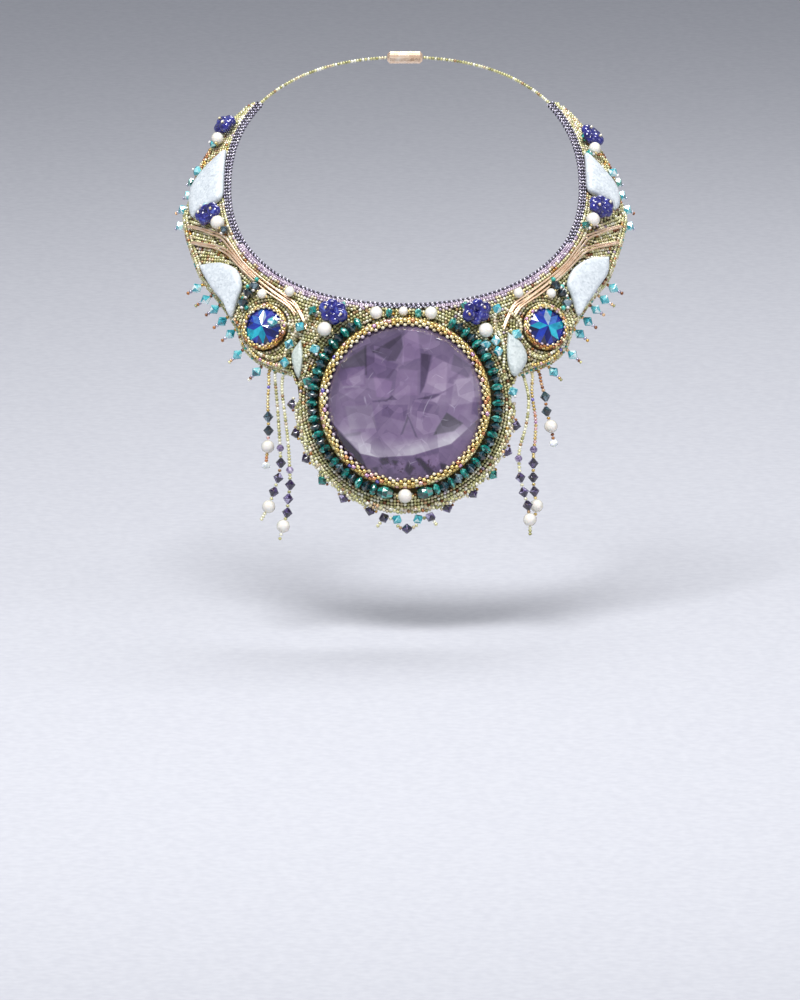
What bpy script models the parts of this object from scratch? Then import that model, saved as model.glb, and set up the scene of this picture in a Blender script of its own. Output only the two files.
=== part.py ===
"""Bead embroidered bib necklace.

A stiff crescent collar lies round the neck, narrow at the nape and wide at the chest, where it
carries a round bib with a large faceted amethyst. Metres, +Z up, the front looks to -Y. The origin
is the centre of the neck line, so it lies on the axis of the neck.

Places on the collar are given by a turn round the neck line, in degrees from the front and positive
to +X, a distance out from the neck line over the collar, and a lift off the collar's underside.
"""

import math

import bmesh
import bpy
from mathutils import Matrix, Vector

# Neck line: a rounded ring, level from side to side, that rises towards the nape
NECK_HALF_WIDTH = 0.0746
NECK_FRONT_DEPTH = 0.0724
NECK_BACK_DEPTH = 0.080
NECK_SQUARENESS_RATIO = 1.125
NECK_RISE = math.radians(35)

# Collar: how steeply it falls away outside the neck line, and its widths
COLLAR_FLARE = math.radians(37)
WING_WIDTH = 0.0235
STRAP_TURN = 127.0
WING_TURN = 99.0
BIB_TURN = 45.5

# Layers from the underside up
CLEARANCE = 0.0003
BACKING_THICKNESS = 0.0016
FIELD_THICKNESS = 0.0011
EDGE_DIAMETER = 0.0019
FIELD_LIFT = BACKING_THICKNESS + CLEARANCE
BED_LIFT = FIELD_LIFT + FIELD_THICKNESS + CLEARANCE

# Round bib under the middle of the front
BIB_RADIUS = 0.0456
BIB_TOP_BAND = 0.0046
BIB_SHOULDER_TURN = 22.5
BIB_SHOULDER_ANGLE = 88.0
BIB_EDGE_ANGLE = 91.0
BIB_BLEND_WIDTH = 0.018

# Amethyst and its setting
AMETHYST_RADIUS = 0.0328
AMETHYST_TABLE_RADIUS = 0.0278
AMETHYST_GIRDLE_HEIGHT = 0.0026
AMETHYST_HEIGHT = 0.0056
AMETHYST_FACETS = 16
BEZEL_WALL = 0.0030
BEZEL_HEIGHT = 0.0044
BEZEL_LIP = 0.0009

# Ring of crystals round the setting
HALO_BEAD_WIDTH = 0.0048
HALO_BEAD_LENGTH = 0.0034
HALO_END_ANGLE = 152.0

# Round blue crystals of the wings and their settings
RIVOLI_RADIUS = 0.0080
RIVOLI_HEIGHT = 0.0040
RIVOLI_GIRDLE_HEIGHT = 0.0013
RIVOLI_BEZEL_WALL = 0.0016
RIVOLI_BEZEL_HEIGHT = 0.0026
RIVOLI_BEZEL_LIP = 0.0006
RIVOLI_TURN = 37.2
RIVOLI_OUT = 0.0205

# Beads, wires and strings
BICONE_RADIUS = 0.0023
SEED_RADIUS = 0.0007
PETAL_RADIUS = 0.0027
PEARL_RADIUS = 0.0030
STRAND_PEARL_RADIUS = 0.0028
SMALL_BEAD_RADIUS = 0.0016
WIRE_DIAMETER = 0.0009
CABOCHON_HEIGHT = 0.0030
PICOT_REACH = 0.0075
CLASP_LENGTH = 0.015
CLASP_DIAMETER = 0.0052
CLASP_BEVEL_SHARE = 0.2

# Facets and steps of the round and the long pieces
EDGE_SIDES = 8
WIRE_SIDES = 6
PEARL_SIDES = 10
PEARL_RINGS = 5
CLASP_SIDES = 12
COLLAR_SPANS = 3
BIB_SECTION_STEPS = 12
NECK_EDGE_STEPS = 34
BIB_EDGE_STEPS = 18
BACK_STRING_STEPS = 11
BEZEL_STEPS = 36
RIVOLI_BEZEL_STEPS = 20
RIM_HALVINGS = 40
WELD_DISTANCE = 0.00001

# Turn left free, in degrees, between two fields of seeds and between a strap and its bead string
FIELD_GAP_TURN = 0.4
STRING_GAP_TURN = 0.5

# Section of a setting, as shares: how far in and how high its crown, shoulder and lip lie
BEZEL_CROWN_SHARE = 0.42
BEZEL_SHOULDER_SHARE = 0.55
BEZEL_LIP_RISE = 0.62
BEZEL_LIP_TOP = 0.80
BEZEL_INNER_SHARE = 0.94

# Crystal on its thread: (place along it, radius) of a picot, and (place, share of the radius) of beads
PICOT_PROFILE = ((0.0, SEED_RADIUS), (0.20, SEED_RADIUS), (0.50, BICONE_RADIUS), (1.0, SEED_RADIUS))
SEED_SWELLS = ((0.0, 1.0),)
BICONE_SWELLS = ((-1.0, 0.0), (0.0, 1.0), (1.0, 0.0))
ROUND_SWELLS = ((-1.0, 0.0), (-0.55, 0.84), (0.0, 1.0), (0.55, 0.84), (1.0, 0.0))
HALO_SWELLS = ((0.0, 0.40), (0.5, 1.0))

# Girdle facets of a blue crystal, and its crown: (share of its radius, share of its height, facets)
RIVOLI_FACETS = 16
RIVOLI_CROWN = ((0.52, 0.78, 8), (0.10, 1.0, 8))

# Dome of a white stone: (share of its outline, share of its height)
CABOCHON_DOME = ((1.0, 0.0), (1.0, 0.45), (0.66, 1.0))

# The collar's outline: (turn in degrees, width as a share of WING_WIDTH)
COLLAR_SECTIONS = (
    (127.0, 0.16),
    (124.0, 0.30),
    (119.0, 0.38),
    (113.0, 0.46),
    (106.0, 0.62),
    (101.0, 0.73),
    (96.0, 0.78),
    (92.0, 0.84),
    (87.0, 1.00),
    (82.0, 0.97),
    (76.0, 0.95),
    (70.0, 0.96),
    (64.0, 1.00),
    (58.0, 0.98),
    (53.0, 1.01),
    (49.0, 1.07),
    (45.0, 1.16),
    (41.0, 1.37),
    (38.0, 1.46),
    (34.5, 1.51),
    (30.0, 1.51),
    (26.0, 1.52),
    (24.0, 1.72),
)

# Cabochons of white stone: rows of (turn in degrees, out as a share of WING_WIDTH)
WHITE_STONES = {
    "white_stone_upper_left": ((-101.8, 0.00), (-93.0, -0.03), (-85.5, 0.01), (-84.3, 0.28),
                               (-84.8, 0.52), (-84.0, 0.68), (-88.5, 0.73), (-93.5, 0.68), (-98.0, 0.40)),
    "white_stone_upper_right": ((101.0, 0.00), (93.0, -0.03), (87.9, 0.01), (87.4, 0.26), (87.8, 0.50),
                                (86.3, 0.62), (88.8, 0.70), (93.2, 0.64), (97.0, 0.36)),
    "white_stone_middle_left": ((-67.1, 0.83), (-62.5, 0.48), (-56.2, 0.33), (-51.0, 0.46),
                                (-48.9, 0.72), (-47.4, 1.03), (-51.4, 0.93), (-59.0, 0.88)),
    "white_stone_middle_right": ((69.0, 0.72), (64.0, 0.44), (57.0, 0.32), (51.2, 0.42), (49.3, 0.68),
                                 (47.4, 1.00), (51.0, 0.95), (58.0, 0.88), (64.5, 0.85)),
    "white_stone_lower_left": ((-26.4, 0.86), (-24.9, 1.08), (-24.1, 1.34), (-24.0, 1.54), (-25.6, 1.42),
                               (-27.4, 1.14)),
    "white_stone_lower_right": ((26.7, 0.72), (29.0, 0.96), (29.2, 1.24), (27.4, 1.42), (24.8, 1.52),
                                (24.2, 1.34), (24.9, 1.05)),
}

# Glass petals that touch in one cluster: rows of (turn in degrees, out as a share of WING_WIDTH)
LAPIS_CLUSTERS = {
    "lapis_cluster_upper_left": ((-114.0, 0.26), (-111.5, 0.12)),
    "lapis_cluster_upper_right": ((109.6, 0.16), (107.2, 0.32)),
    "lapis_cluster_middle_left": ((-81.0, 0.42), (-79.5, 0.16)),
    "lapis_cluster_middle_right": ((84.3, 0.36), (80.9, 0.14)),
    "lapis_cluster_inner_left": ((-21.8, 0.20), (-17.3, 0.27)),
    "lapis_cluster_inner_right": ((21.8, 0.20), (17.3, 0.27)),
}

# Single pearls: (turn in degrees, out as a share of WING_WIDTH, radius as a share of PEARL_RADIUS)
PEARLS = {
    "pearl_upper_left": (-107.3, 0.23, 0.88),
    "pearl_upper_right": (103.0, 0.20, 0.88),
    "pearl_middle_left": (-74.6, 0.15, 1.0),
    "pearl_middle_right": (75.8, 0.14, 1.0),
    "pearl_wire_outer_left": (-42.7, 0.38, 0.70),
    "pearl_wire_outer_right": (43.7, 0.40, 0.70),
    "pearl_wire_inner_left": (-34.7, 0.11, 0.73),
    "pearl_wire_inner_right": (33.9, 0.12, 0.73),
    "pearl_inner_left": (-21.0, 0.58, 1.03),
    "pearl_inner_right": (21.0, 0.60, 1.03),
    "pearl_bar_left": (-7.2, 0.14, 0.90),
    "pearl_bar_right": (6.4, 0.14, 0.90),
    "pearl_bar_middle": (-0.3, 0.09, 0.66),
}

# Bent gold wires of one wing: rows of (turn in degrees, out as a share of WING_WIDTH)
WIRES = {
    "wire_inner": ((82.0, 0.79), (78.2, 0.55), (74.2, 0.36), (69.5, 0.20), (63.0, 0.16), (56.5, 0.17),
                   (51.2, 0.17), (46.5, 0.18), (41.2, 0.20), (36.5, 0.23), (31.8, 0.28), (28.6, 0.42),
                   (26.0, 0.62)),
    "wire_outer": ((76.0, 0.80), (72.5, 0.60), (68.0, 0.38), (63.2, 0.26), (56.5, 0.24), (51.4, 0.24),
                   (47.0, 0.25), (41.8, 0.27), (37.0, 0.30), (33.0, 0.35), (30.4, 0.44)),
}

# Sewn branches of crystals on the bib's shoulders: rows of (turn, out as a share of WING_WIDTH, bead)
BRANCHES = {
    "branch_left": ((-25.6, 0.30, "bicone"), (-26.6, 0.47, "seed"), (-27.6, 0.64, "bicone"),
                    (-29.4, 0.84, "seed"), (-29.8, 1.02, "bicone"), (-29.9, 1.17, "seed"),
                    (-29.2, 1.34, "bicone")),
    "branch_right": ((25.6, 0.26, "bicone"), (24.2, 0.42, "seed"), (22.9, 0.82, "bicone"),
                     (22.8, 1.02, "bicone"), (22.6, 1.18, "seed")),
}

# Crystal picots of each wing's edge: (turn in degrees, reach as a share of PICOT_REACH)
WING_PICOTS = (
    (98.0, 0.62),
    (94.0, 0.62),
    (90.5, 0.85),
    (86.0, 0.55),
    (63.0, 1.05),
    (58.0, 1.15),
    (53.8, 1.00),
    (49.4, 1.05),
    (45.2, 1.05),
    (40.3, 1.10),
    (33.8, 1.10),
)

# Crystal picots of the round bib's edge, by angle from straight down
BIB_PICOT_ANGLES = (-90, -75, -61, -47, -33, -18, 22, 37, 51, 65, 79)
BIB_PICOT_REACH = 0.0038

# Hanging strings: how far across beyond the round bib the knot lies, as a share of WING_WIDTH, how far
# forward the string hangs, as a share of BICONE_RADIUS, and its beads from the knot down, each with
# (across, drop, bead), as shares of STRAND_LENGTH
STRAND_LENGTH = 0.069
STRAND_LEAN = math.radians(16)
STRAND_EASE = 0.2
STRANDS = {
    "strand_1_left": (0.479, 0.0, (
        (0.000, 0.07, "seed"), (-0.006, 0.17, "seed"), (-0.004, 0.272, "bicone"), (-0.002, 0.356, "bicone"),
        (-0.006, 0.453, "pearl"), (-0.014, 0.525, "seed"), (-0.018, 0.568, "small"))),
    "strand_2_left": (0.372, 0.96, (
        (0.016, 0.20, "seed"), (0.027, 0.36, "seed"), (0.033, 0.453, "small"), (0.037, 0.543, "bicone"),
        (0.022, 0.634, "bicone"), (-0.006, 0.719, "bicone"), (-0.036, 0.808, "pearl"),
        (-0.070, 0.868, "seed"), (-0.084, 0.893, "seed"))),
    "strand_3_left": (0.230, 1.91, (
        (-0.004, 0.09, "seed"), (0.014, 0.24, "seed"), (0.034, 0.42, "seed"), (0.043, 0.574, "small"),
        (0.046, 0.664, "bicone"), (0.034, 0.748, "bicone"), (0.028, 0.833, "bicone"),
        (0.004, 0.914, "pearl"), (-0.012, 0.972, "seed"), (-0.017, 1.002, "seed"))),
    "strand_1_right": (0.175, 2.52, (
        (0.027, 0.14, "seed"), (0.010, 0.30, "seed"), (-0.024, 0.42, "seed"), (-0.035, 0.501, "small"),
        (-0.030, 0.562, "seed"), (-0.024, 0.616, "bicone"), (-0.004, 0.704, "bicone"),
        (0.020, 0.785, "bicone"), (0.033, 0.870, "pearl"), (0.034, 0.930, "seed"),
        (0.034, 0.966, "seed"))),
    "strand_2_right": (0.325, 0.0, (
        (-0.004, 0.11, "seed"), (0.018, 0.27, "seed"), (0.014, 0.40, "seed"), (0.006, 0.453, "small"),
        (0.004, 0.537, "bicone"), (0.003, 0.622, "bicone"), (0.010, 0.707, "bicone"),
        (0.024, 0.794, "pearl"), (0.015, 0.852, "seed"), (0.012, 0.881, "seed"))),
    "strand_3_right": (0.446, 0.0, (
        (0.014, 0.07, "seed"), (0.036, 0.145, "bicone"), (0.044, 0.234, "bicone"),
        (0.070, 0.325, "pearl"), (0.082, 0.390, "seed"), (0.088, 0.428, "small"))),
}

# The short fringe under the round bib: (angle from straight down, drop below the bib's edge as a
# share of BICONE_RADIUS, bead)
FRINGE_ROUTE = (
    (-12.8, 3.1, "seed"),
    (-10.4, 1.15, "bicone"),
    (-4.0, 1.15, "bicone"),
    (-3.0, 2.5, "seed"),
    (0.9, 2.8, "bicone"),
    (5.0, 2.4, "seed"),
    (6.4, 1.15, "bicone"),
    (12.6, 1.15, "bicone"),
    (14.6, 2.9, "seed"),
)

BEAD_RADII = {
    "seed": SEED_RADIUS,
    "small": SMALL_BEAD_RADIUS,
    "bicone": BICONE_RADIUS,
    "pearl": STRAND_PEARL_RADIUS,
}

# Neck line directions: back and up along the ring, and square to it
RING_BACK = Vector((0.0, math.cos(NECK_RISE), math.sin(NECK_RISE)))
RING_NORMAL = Vector((0.0, -math.sin(NECK_RISE), math.cos(NECK_RISE)))
RIGHT = Vector((1.0, 0.0, 0.0))


def neck_frame(turn):
    """Return a point of the neck line and the collar's outward and square directions there."""
    angle = math.radians(turn)
    depth = NECK_FRONT_DEPTH if math.cos(angle) > 0 else NECK_BACK_DEPTH
    power = 1 / NECK_SQUARENESS_RATIO
    across = NECK_HALF_WIDTH * math.copysign(abs(math.sin(angle)) ** power, math.sin(angle))
    back = -depth * math.copysign(abs(math.cos(angle)) ** power, math.cos(angle))
    slope = 2 * NECK_SQUARENESS_RATIO - 1
    level = Vector((0.0, 0.0, 0.0))
    level += RIGHT * math.copysign(abs(across / NECK_HALF_WIDTH) ** slope / NECK_HALF_WIDTH, across)
    level += RING_BACK * math.copysign(abs(back / depth) ** slope / depth, back)
    level.normalize()
    outward = level * math.cos(COLLAR_FLARE) - RING_NORMAL * math.sin(COLLAR_FLARE)
    normal = level * math.sin(COLLAR_FLARE) + RING_NORMAL * math.cos(COLLAR_FLARE)
    return RIGHT * across + RING_BACK * back, outward, normal


# Plane of the round bib
BIB_ORIGIN, BIB_DOWN, BIB_NORMAL = neck_frame(0.0)
SETTING_RADIUS = AMETHYST_RADIUS + CLEARANCE + BEZEL_WALL
BIB_CENTRE_OUT = BIB_TOP_BAND + SETTING_RADIUS
BIB_CENTRE = BIB_ORIGIN + BIB_DOWN * BIB_CENTRE_OUT
HALO_RADIUS = SETTING_RADIUS + CLEARANCE + HALO_BEAD_WIDTH / 2
FLAT_RADIUS = HALO_RADIUS + HALO_BEAD_WIDTH / 2


def settle(point, normal, lift):
    """Press a collar point on to the flat of the round bib, fading out beyond it, then lift it."""
    offset = point - BIB_CENTRE
    height = offset.dot(BIB_NORMAL)
    reach = (offset - BIB_NORMAL * height).length
    share = min(1.0, max(0.0, (reach - FLAT_RADIUS) / BIB_BLEND_WIDTH))
    share = share * share * (3 - 2 * share)
    normal = BIB_NORMAL.lerp(normal, share).normalized()
    return point - BIB_NORMAL * height * (1 - share) + normal * lift, normal


def collar_place(turn, out, lift):
    """Return the place and the square direction at a turn, a distance out and a lift."""
    start, outward, normal = neck_frame(turn)
    return settle(start + outward * out, normal, lift)


def bib_place(angle, radius, lift):
    """Return a place on the round bib by its angle from straight down and its radius."""
    swing = math.radians(angle)
    direction = RIGHT * math.sin(swing) + BIB_DOWN * math.cos(swing)
    return BIB_CENTRE + direction * radius + BIB_NORMAL * lift


def collar_width(turn):
    """Return the collar's width at a turn, read between the rows of its outline."""
    rows = COLLAR_SECTIONS
    turn = abs(turn)
    for (high, wide), (low, narrow) in zip(rows, rows[1:]):
        if low <= turn <= high:
            share = (turn - low) / (high - low)
            return WING_WIDTH * (narrow + (wide - narrow) * share)
    return WING_WIDTH * (rows[0][1] if turn > rows[0][0] else rows[-1][1])


def wing_section(turn):
    """Return the inner and outer ends of the collar's section at a turn of a wing."""
    start, outward, normal = neck_frame(turn)
    return start, start + outward * (collar_width(turn) - EDGE_DIAMETER), normal


def bib_section(angle):
    """Return the ends of the section that runs to an angle of the round bib's edge."""
    start, _, normal = neck_frame(angle * BIB_SHOULDER_TURN / BIB_SHOULDER_ANGLE)
    return start, bib_place(angle, BIB_RADIUS - EDGE_DIAMETER, 0.0), normal


def sections_between(first, last):
    """List the collar's sections from one turn to another, left to right, with the bib's between."""
    turns = [row[0] for row in COLLAR_SECTIONS]
    turns = sorted([-turn for turn in turns] + turns)
    turns = [first] + [turn for turn in turns if first < turn < last] + [last]
    left = [wing_section(turn) for turn in turns if turn < -BIB_SHOULDER_TURN]
    right = [wing_section(turn) for turn in turns if turn > BIB_SHOULDER_TURN]
    middle = []
    if first < 0 < last:
        shares = [step / BIB_SECTION_STEPS for step in range(BIB_SECTION_STEPS + 1)]
        middle = [bib_section(BIB_SHOULDER_ANGLE * (2 * share - 1)) for share in shares]
    return left + middle + right


def rim_knot(turn):
    """Return the place just outside the collar's edge from which a string can hang."""
    out = collar_width(turn) + CLEARANCE * 2 + SEED_RADIUS
    return collar_place(turn, out, BACKING_THICKNESS / 2)[0]


def rim_turn(across):
    """Return the turn between the bib and the wing at which the collar's rim lies this far across."""
    low = BIB_SHOULDER_TURN
    high = BIB_TURN
    for _ in range(RIM_HALVINGS):
        middle = (low + high) / 2
        if rim_knot(middle).x < across:
            low = middle
        else:
            high = middle
    return (low + high) / 2


def material(name, colour, roughness, metallic=0.0):
    """Make a Principled material of a colour, roughness and metallic value."""
    made = bpy.data.materials.new(name)
    made.use_nodes = True
    shader = made.node_tree.nodes["Principled BSDF"]
    shader.inputs["Base Color"].default_value = (*colour, 1.0)
    shader.inputs["Roughness"].default_value = roughness
    shader.inputs["Metallic"].default_value = metallic
    made.diffuse_color = (*colour, 1.0)
    return made


def add_object(name, data, finish, group):
    """Link an object of this data to a collection, with its material."""
    made = bpy.data.objects.new(name, data)
    made.data.materials.append(finish)
    group.objects.link(made)
    return made


def smooth(mesh, angle=40.0):
    """Shade a mesh smooth up to an angle between its faces."""
    mesh.shade_smooth()
    mesh.set_sharp_from_angle(angle=math.radians(angle))


def mesh_of(name, points, faces):
    """Make a mesh of points and faces whose faces look out."""
    mesh = bpy.data.meshes.new(name)
    mesh.from_pydata([tuple(point) for point in points], [], faces)
    shell = bmesh.new()
    shell.from_mesh(mesh)
    bmesh.ops.recalc_face_normals(shell, faces=shell.faces)
    shell.to_mesh(mesh)
    shell.free()
    return mesh


def loft_loops(name, loops):
    """Join equal closed loops of points into a solid with flat ends."""
    count = len(loops[0])
    points = [point for loop in loops for point in loop]
    faces = []
    for step in range(len(loops) - 1):
        for index in range(count):
            near = step * count
            far = near + count
            follow = (index + 1) % count
            faces.append((near + index, near + follow, far + follow, far + index))
    faces.append(tuple(range(count)))
    faces.append(tuple((len(loops) - 1) * count + index for index in range(count)))
    return mesh_of(name, points, faces)


def slab(name, finish, group, sections, bottom, thickness, margin):
    """Lay a sheet of even thickness over the collar, a margin inside its sections' ends.

    Its upper and lower sides are split along the same diagonals, so stacked sheets never meet.
    """
    columns = COLLAR_SPANS + 1
    row = 2 * columns
    points = []
    for start, end, normal in sections:
        inset = margin / (end - start).length
        inner = [span / COLLAR_SPANS for span in range(1, COLLAR_SPANS)]
        shares = [inset, *inner, 1 - inset]
        for lift in (bottom, bottom + thickness):
            points += [settle(start.lerp(end, share), normal, lift)[0] for share in shares]
    faces = []
    for section in range(len(sections) - 1):
        for side in (0, columns):
            for span in range(COLLAR_SPANS):
                near = section * row + side + span
                far = near + row
                faces.append((near, near + 1, far + 1))
                faces.append((near, far + 1, far))
        for column in (0, COLLAR_SPANS):
            near = section * row + column
            faces.append((near, near + columns, near + row + columns, near + row))
    for first in (0, (len(sections) - 1) * row):
        under = range(first, first + columns)
        over = range(first + row - 1, first + columns - 1, -1)
        faces.append((*under, *over))
    mesh = mesh_of(name, points, faces)
    smooth(mesh)
    return add_object(name, mesh, finish, group)


def string(name, finish, group, points, radii, sides):
    """Make a tube through points whose thickness follows the beads threaded there."""
    curve = bpy.data.curves.new(name, "CURVE")
    curve.dimensions = "3D"
    curve.bevel_depth = max(radii)
    curve.bevel_resolution = sides // 2 - 2
    curve.use_fill_caps = True
    spline = curve.splines.new("POLY")
    spline.points.add(len(points) - 1)
    for knot, point, radius in zip(spline.points, points, radii):
        knot.co = (*point, 1.0)
        knot.radius = radius / curve.bevel_depth
    return add_object(name, curve, finish, group)


def smooth_route(points, steps):
    """Return points on a smooth curve through the given ones, with a number of steps between each."""
    route = []
    for index in range(len(points) - 1):
        before = points[max(index - 1, 0)]
        start = points[index]
        end = points[index + 1]
        after = points[min(index + 2, len(points) - 1)]
        for step in range(steps):
            share = step / steps
            bend_in = (end - before) / 2
            bend_out = (after - start) / 2
            straight = start.lerp(end, share * share * (3 - 2 * share))
            leaving = bend_in * share * (1 - share) ** 2
            arriving = bend_out * share * share * (1 - share)
            route.append(straight + leaving - arriving)
    route.append(points[-1])
    return route


def beaded(places):
    """Turn bead centres into the waists and swells of one string.

    places holds (point, radius, is_round) rows; the thread's ends are plain.
    """
    points = []
    radii = []
    for index, (point, radius, is_round) in enumerate(places):
        ahead = places[min(index + 1, len(places) - 1)][0]
        behind = places[max(index - 1, 0)][0]
        axis = (ahead - behind).normalized()
        swells = ROUND_SWELLS if is_round else BICONE_SWELLS
        if radius <= SEED_RADIUS:
            swells = SEED_SWELLS
        for shift, swell in swells:
            spot = point + axis * radius * shift
            touches = bool(points) and (spot - points[-1]).length < 2 * SEED_RADIUS
            if swell == 0.0 and touches and radii[-1] == SEED_RADIUS:
                points[-1] = (spot + points[-1]) / 2
                continue
            points.append(spot)
            radii.append(max(SEED_RADIUS, radius * swell))
    return points, radii


def fused_mesh(source, group):
    """Turn a tube into a closed mesh object with welded ends and remove the tube."""
    name = source.name
    bpy.context.view_layer.update()
    mesh = bpy.data.meshes.new_from_object(source.evaluated_get(bpy.context.evaluated_depsgraph_get()))
    shell = bmesh.new()
    shell.from_mesh(mesh)
    bmesh.ops.remove_doubles(shell, verts=shell.verts, dist=WELD_DISTANCE)
    bmesh.ops.recalc_face_normals(shell, faces=shell.faces)
    shell.to_mesh(mesh)
    shell.free()
    matrix = source.matrix_world.copy()
    bpy.data.objects.remove(source)
    made = bpy.data.objects.new(name, mesh)
    made.matrix_world = matrix
    group.objects.link(made)
    return made


def join_tubes(base, picots, group, cutters):
    """Join tubes that start inside a base tube to it, as one closed body."""
    base = fused_mesh(base, group)
    for picot in picots:
        cutter = fused_mesh(picot, cutters)
        cutter.hide_render = True
        cutter.display_type = "WIRE"
        union = base.modifiers.new(cutter.name, "BOOLEAN")
        union.operation = "UNION"
        union.solver = "EXACT"
        union.object = cutter


def make_backing(finish, group):
    """Make the stitched backing of the whole collar."""
    sections = sections_between(-STRAP_TURN, STRAP_TURN)
    slab("collar_backing", finish, group, sections, 0.0, BACKING_THICKNESS, 0.0)


def make_fields(finish, group):
    """Make the woven fields of seed beads that cover the backing."""
    fields = {
        "seed_field_strap_left": (-STRAP_TURN, -WING_TURN - FIELD_GAP_TURN),
        "seed_field_wing_left": (-WING_TURN, -BIB_TURN - FIELD_GAP_TURN),
        "seed_field_bib": (-BIB_TURN, BIB_TURN),
        "seed_field_wing_right": (BIB_TURN + FIELD_GAP_TURN, WING_TURN),
        "seed_field_strap_right": (WING_TURN + FIELD_GAP_TURN, STRAP_TURN),
    }
    for name, (first, last) in fields.items():
        sections = sections_between(first, last)
        slab(name, finish, group, sections, FIELD_LIFT, FIELD_THICKNESS, CLEARANCE)


def make_neck_edge(finish, group):
    """Make the beaded edging along the neck line."""
    radius = EDGE_DIAMETER / 2
    points = []
    for step in range(NECK_EDGE_STEPS + 1):
        turn = STRAP_TURN * (2 * step / NECK_EDGE_STEPS - 1)
        points.append(collar_place(turn, -radius - CLEARANCE, BACKING_THICKNESS / 2)[0])
    string("neck_edge", finish, group, points, [radius] * len(points), EDGE_SIDES)


def picot(name, finish, group, root, tip):
    """Make one crystal with its seed bead, from a root inside the edge to its tip."""
    points = [root.lerp(tip, share) for share, _ in PICOT_PROFILE]
    radii = [radius for _, radius in PICOT_PROFILE]
    return string(name, finish, group, points, radii, EDGE_SIDES)


def make_wing_edge(side, finish, group, cutters):
    """Make the beaded outer edge of one wing with its crystal picots."""
    name = "edge_left" if side < 0 else "edge_right"
    radius = EDGE_DIAMETER / 2
    lift = BACKING_THICKNESS / 2
    turns = [turn for turn, _ in COLLAR_SECTIONS if turn > BIB_SHOULDER_TURN + 3]

    def rim(turn, beyond):
        out = collar_width(turn) - radius + CLEARANCE + beyond
        return collar_place(side * turn, out, lift)[0]

    points = [rim(turn, 0.0) for turn in turns]
    edge = string(name, finish, group, points, [radius] * len(points), EDGE_SIDES)
    picots = []
    for turn, share in WING_PICOTS:
        root = rim(turn, 0.0)
        tip = rim(turn, PICOT_REACH * share + radius)
        picots.append(picot(f"{name}_picot_{turn:.0f}", finish, group, root, tip))
    join_tubes(edge, picots, group, cutters)


def make_bib_edge(finish, group, cutters):
    """Make the beaded edge of the round bib with its crystal picots."""
    radius = EDGE_DIAMETER / 2
    lift = BACKING_THICKNESS / 2
    rim = BIB_RADIUS - radius + CLEARANCE
    shares = [step / BIB_EDGE_STEPS for step in range(BIB_EDGE_STEPS + 1)]
    points = [bib_place(BIB_EDGE_ANGLE * (2 * share - 1), rim, lift) for share in shares]
    edge = string("medallion_edge", finish, group, points, [radius] * len(points), EDGE_SIDES)
    picots = []
    for angle in BIB_PICOT_ANGLES:
        root = bib_place(angle, rim, lift)
        tip = bib_place(angle, rim + radius + BIB_PICOT_REACH, lift)
        picots.append(picot(f"medallion_edge_picot_{angle}", finish, group, root, tip))
    join_tubes(edge, picots, group, cutters)


def bib_matrix(place, normal):
    """Return the matrix that stands a shape made on the XY plane on the collar."""
    down = (BIB_DOWN - normal * BIB_DOWN.dot(normal)).normalized()
    turned = Matrix((down.cross(normal), -down, normal)).transposed()
    return Matrix.Translation(place) @ turned.to_4x4()


def faceted_stone(name, finish, group, matrix, rings):
    """Make a cut stone: rings of (radius, height, facets) under a flat table.

    Where a ring has half as many corners as the one below, the crown has triangles and kites.
    """
    shell = bmesh.new()
    loops = []
    for radius, height, facets in rings:
        loop = []
        for index in range(facets):
            angle = 2 * math.pi * index / facets
            loop.append(shell.verts.new((radius * math.cos(angle), radius * math.sin(angle), height)))
        loops.append(loop)
    for lower, upper in zip(loops, loops[1:]):
        ratio = len(lower) // len(upper)
        for index in range(len(upper)):
            follow = (index + 1) % len(upper)
            if ratio == 1:
                shell.faces.new((lower[index], lower[follow], upper[follow], upper[index]))
                continue
            first, middle, last = [lower[(2 * index + step) % len(lower)] for step in range(3)]
            shell.faces.new((first, middle, upper[index]))
            shell.faces.new((middle, upper[follow], upper[index]))
            shell.faces.new((middle, last, upper[follow]))
    shell.faces.new(loops[0][::-1])
    shell.faces.new(loops[-1])
    bmesh.ops.recalc_face_normals(shell, faces=shell.faces)
    mesh = bpy.data.meshes.new(name)
    shell.to_mesh(mesh)
    shell.free()
    made = add_object(name, mesh, finish, group)
    made.matrix_world = matrix
    return made


def make_bezel(name, finish, group, matrix, stone_radius, girdle, wall, height, lip, steps):
    """Make the woven setting of a round stone, a turned ring whose lip leans over the girdle."""
    inner = stone_radius + CLEARANCE
    outer = inner + wall
    over = girdle + CLEARANCE * 2
    profile = (
        (outer - wall * BEZEL_CROWN_SHARE, height),
        (outer, height * BEZEL_SHOULDER_SHARE),
        (outer, 0.0),
        (inner, 0.0),
        (inner, over),
        (inner - lip, over + lip * BEZEL_LIP_RISE),
        (inner - lip * BEZEL_LIP_TOP, height * BEZEL_INNER_SHARE),
    )
    mesh = bpy.data.meshes.new(name)
    count = len(profile)
    edges = [(index, (index + 1) % count) for index in range(count)]
    mesh.from_pydata([(radius, 0.0, level) for radius, level in profile], edges, [])
    made = add_object(name, mesh, finish, group)
    made.matrix_world = matrix
    screw = made.modifiers.new("turn", "SCREW")
    screw.steps = steps
    screw.render_steps = steps
    screw.use_merge_vertices = True
    screw.merge_threshold = WELD_DISTANCE
    screw.use_smooth_shade = True


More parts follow.
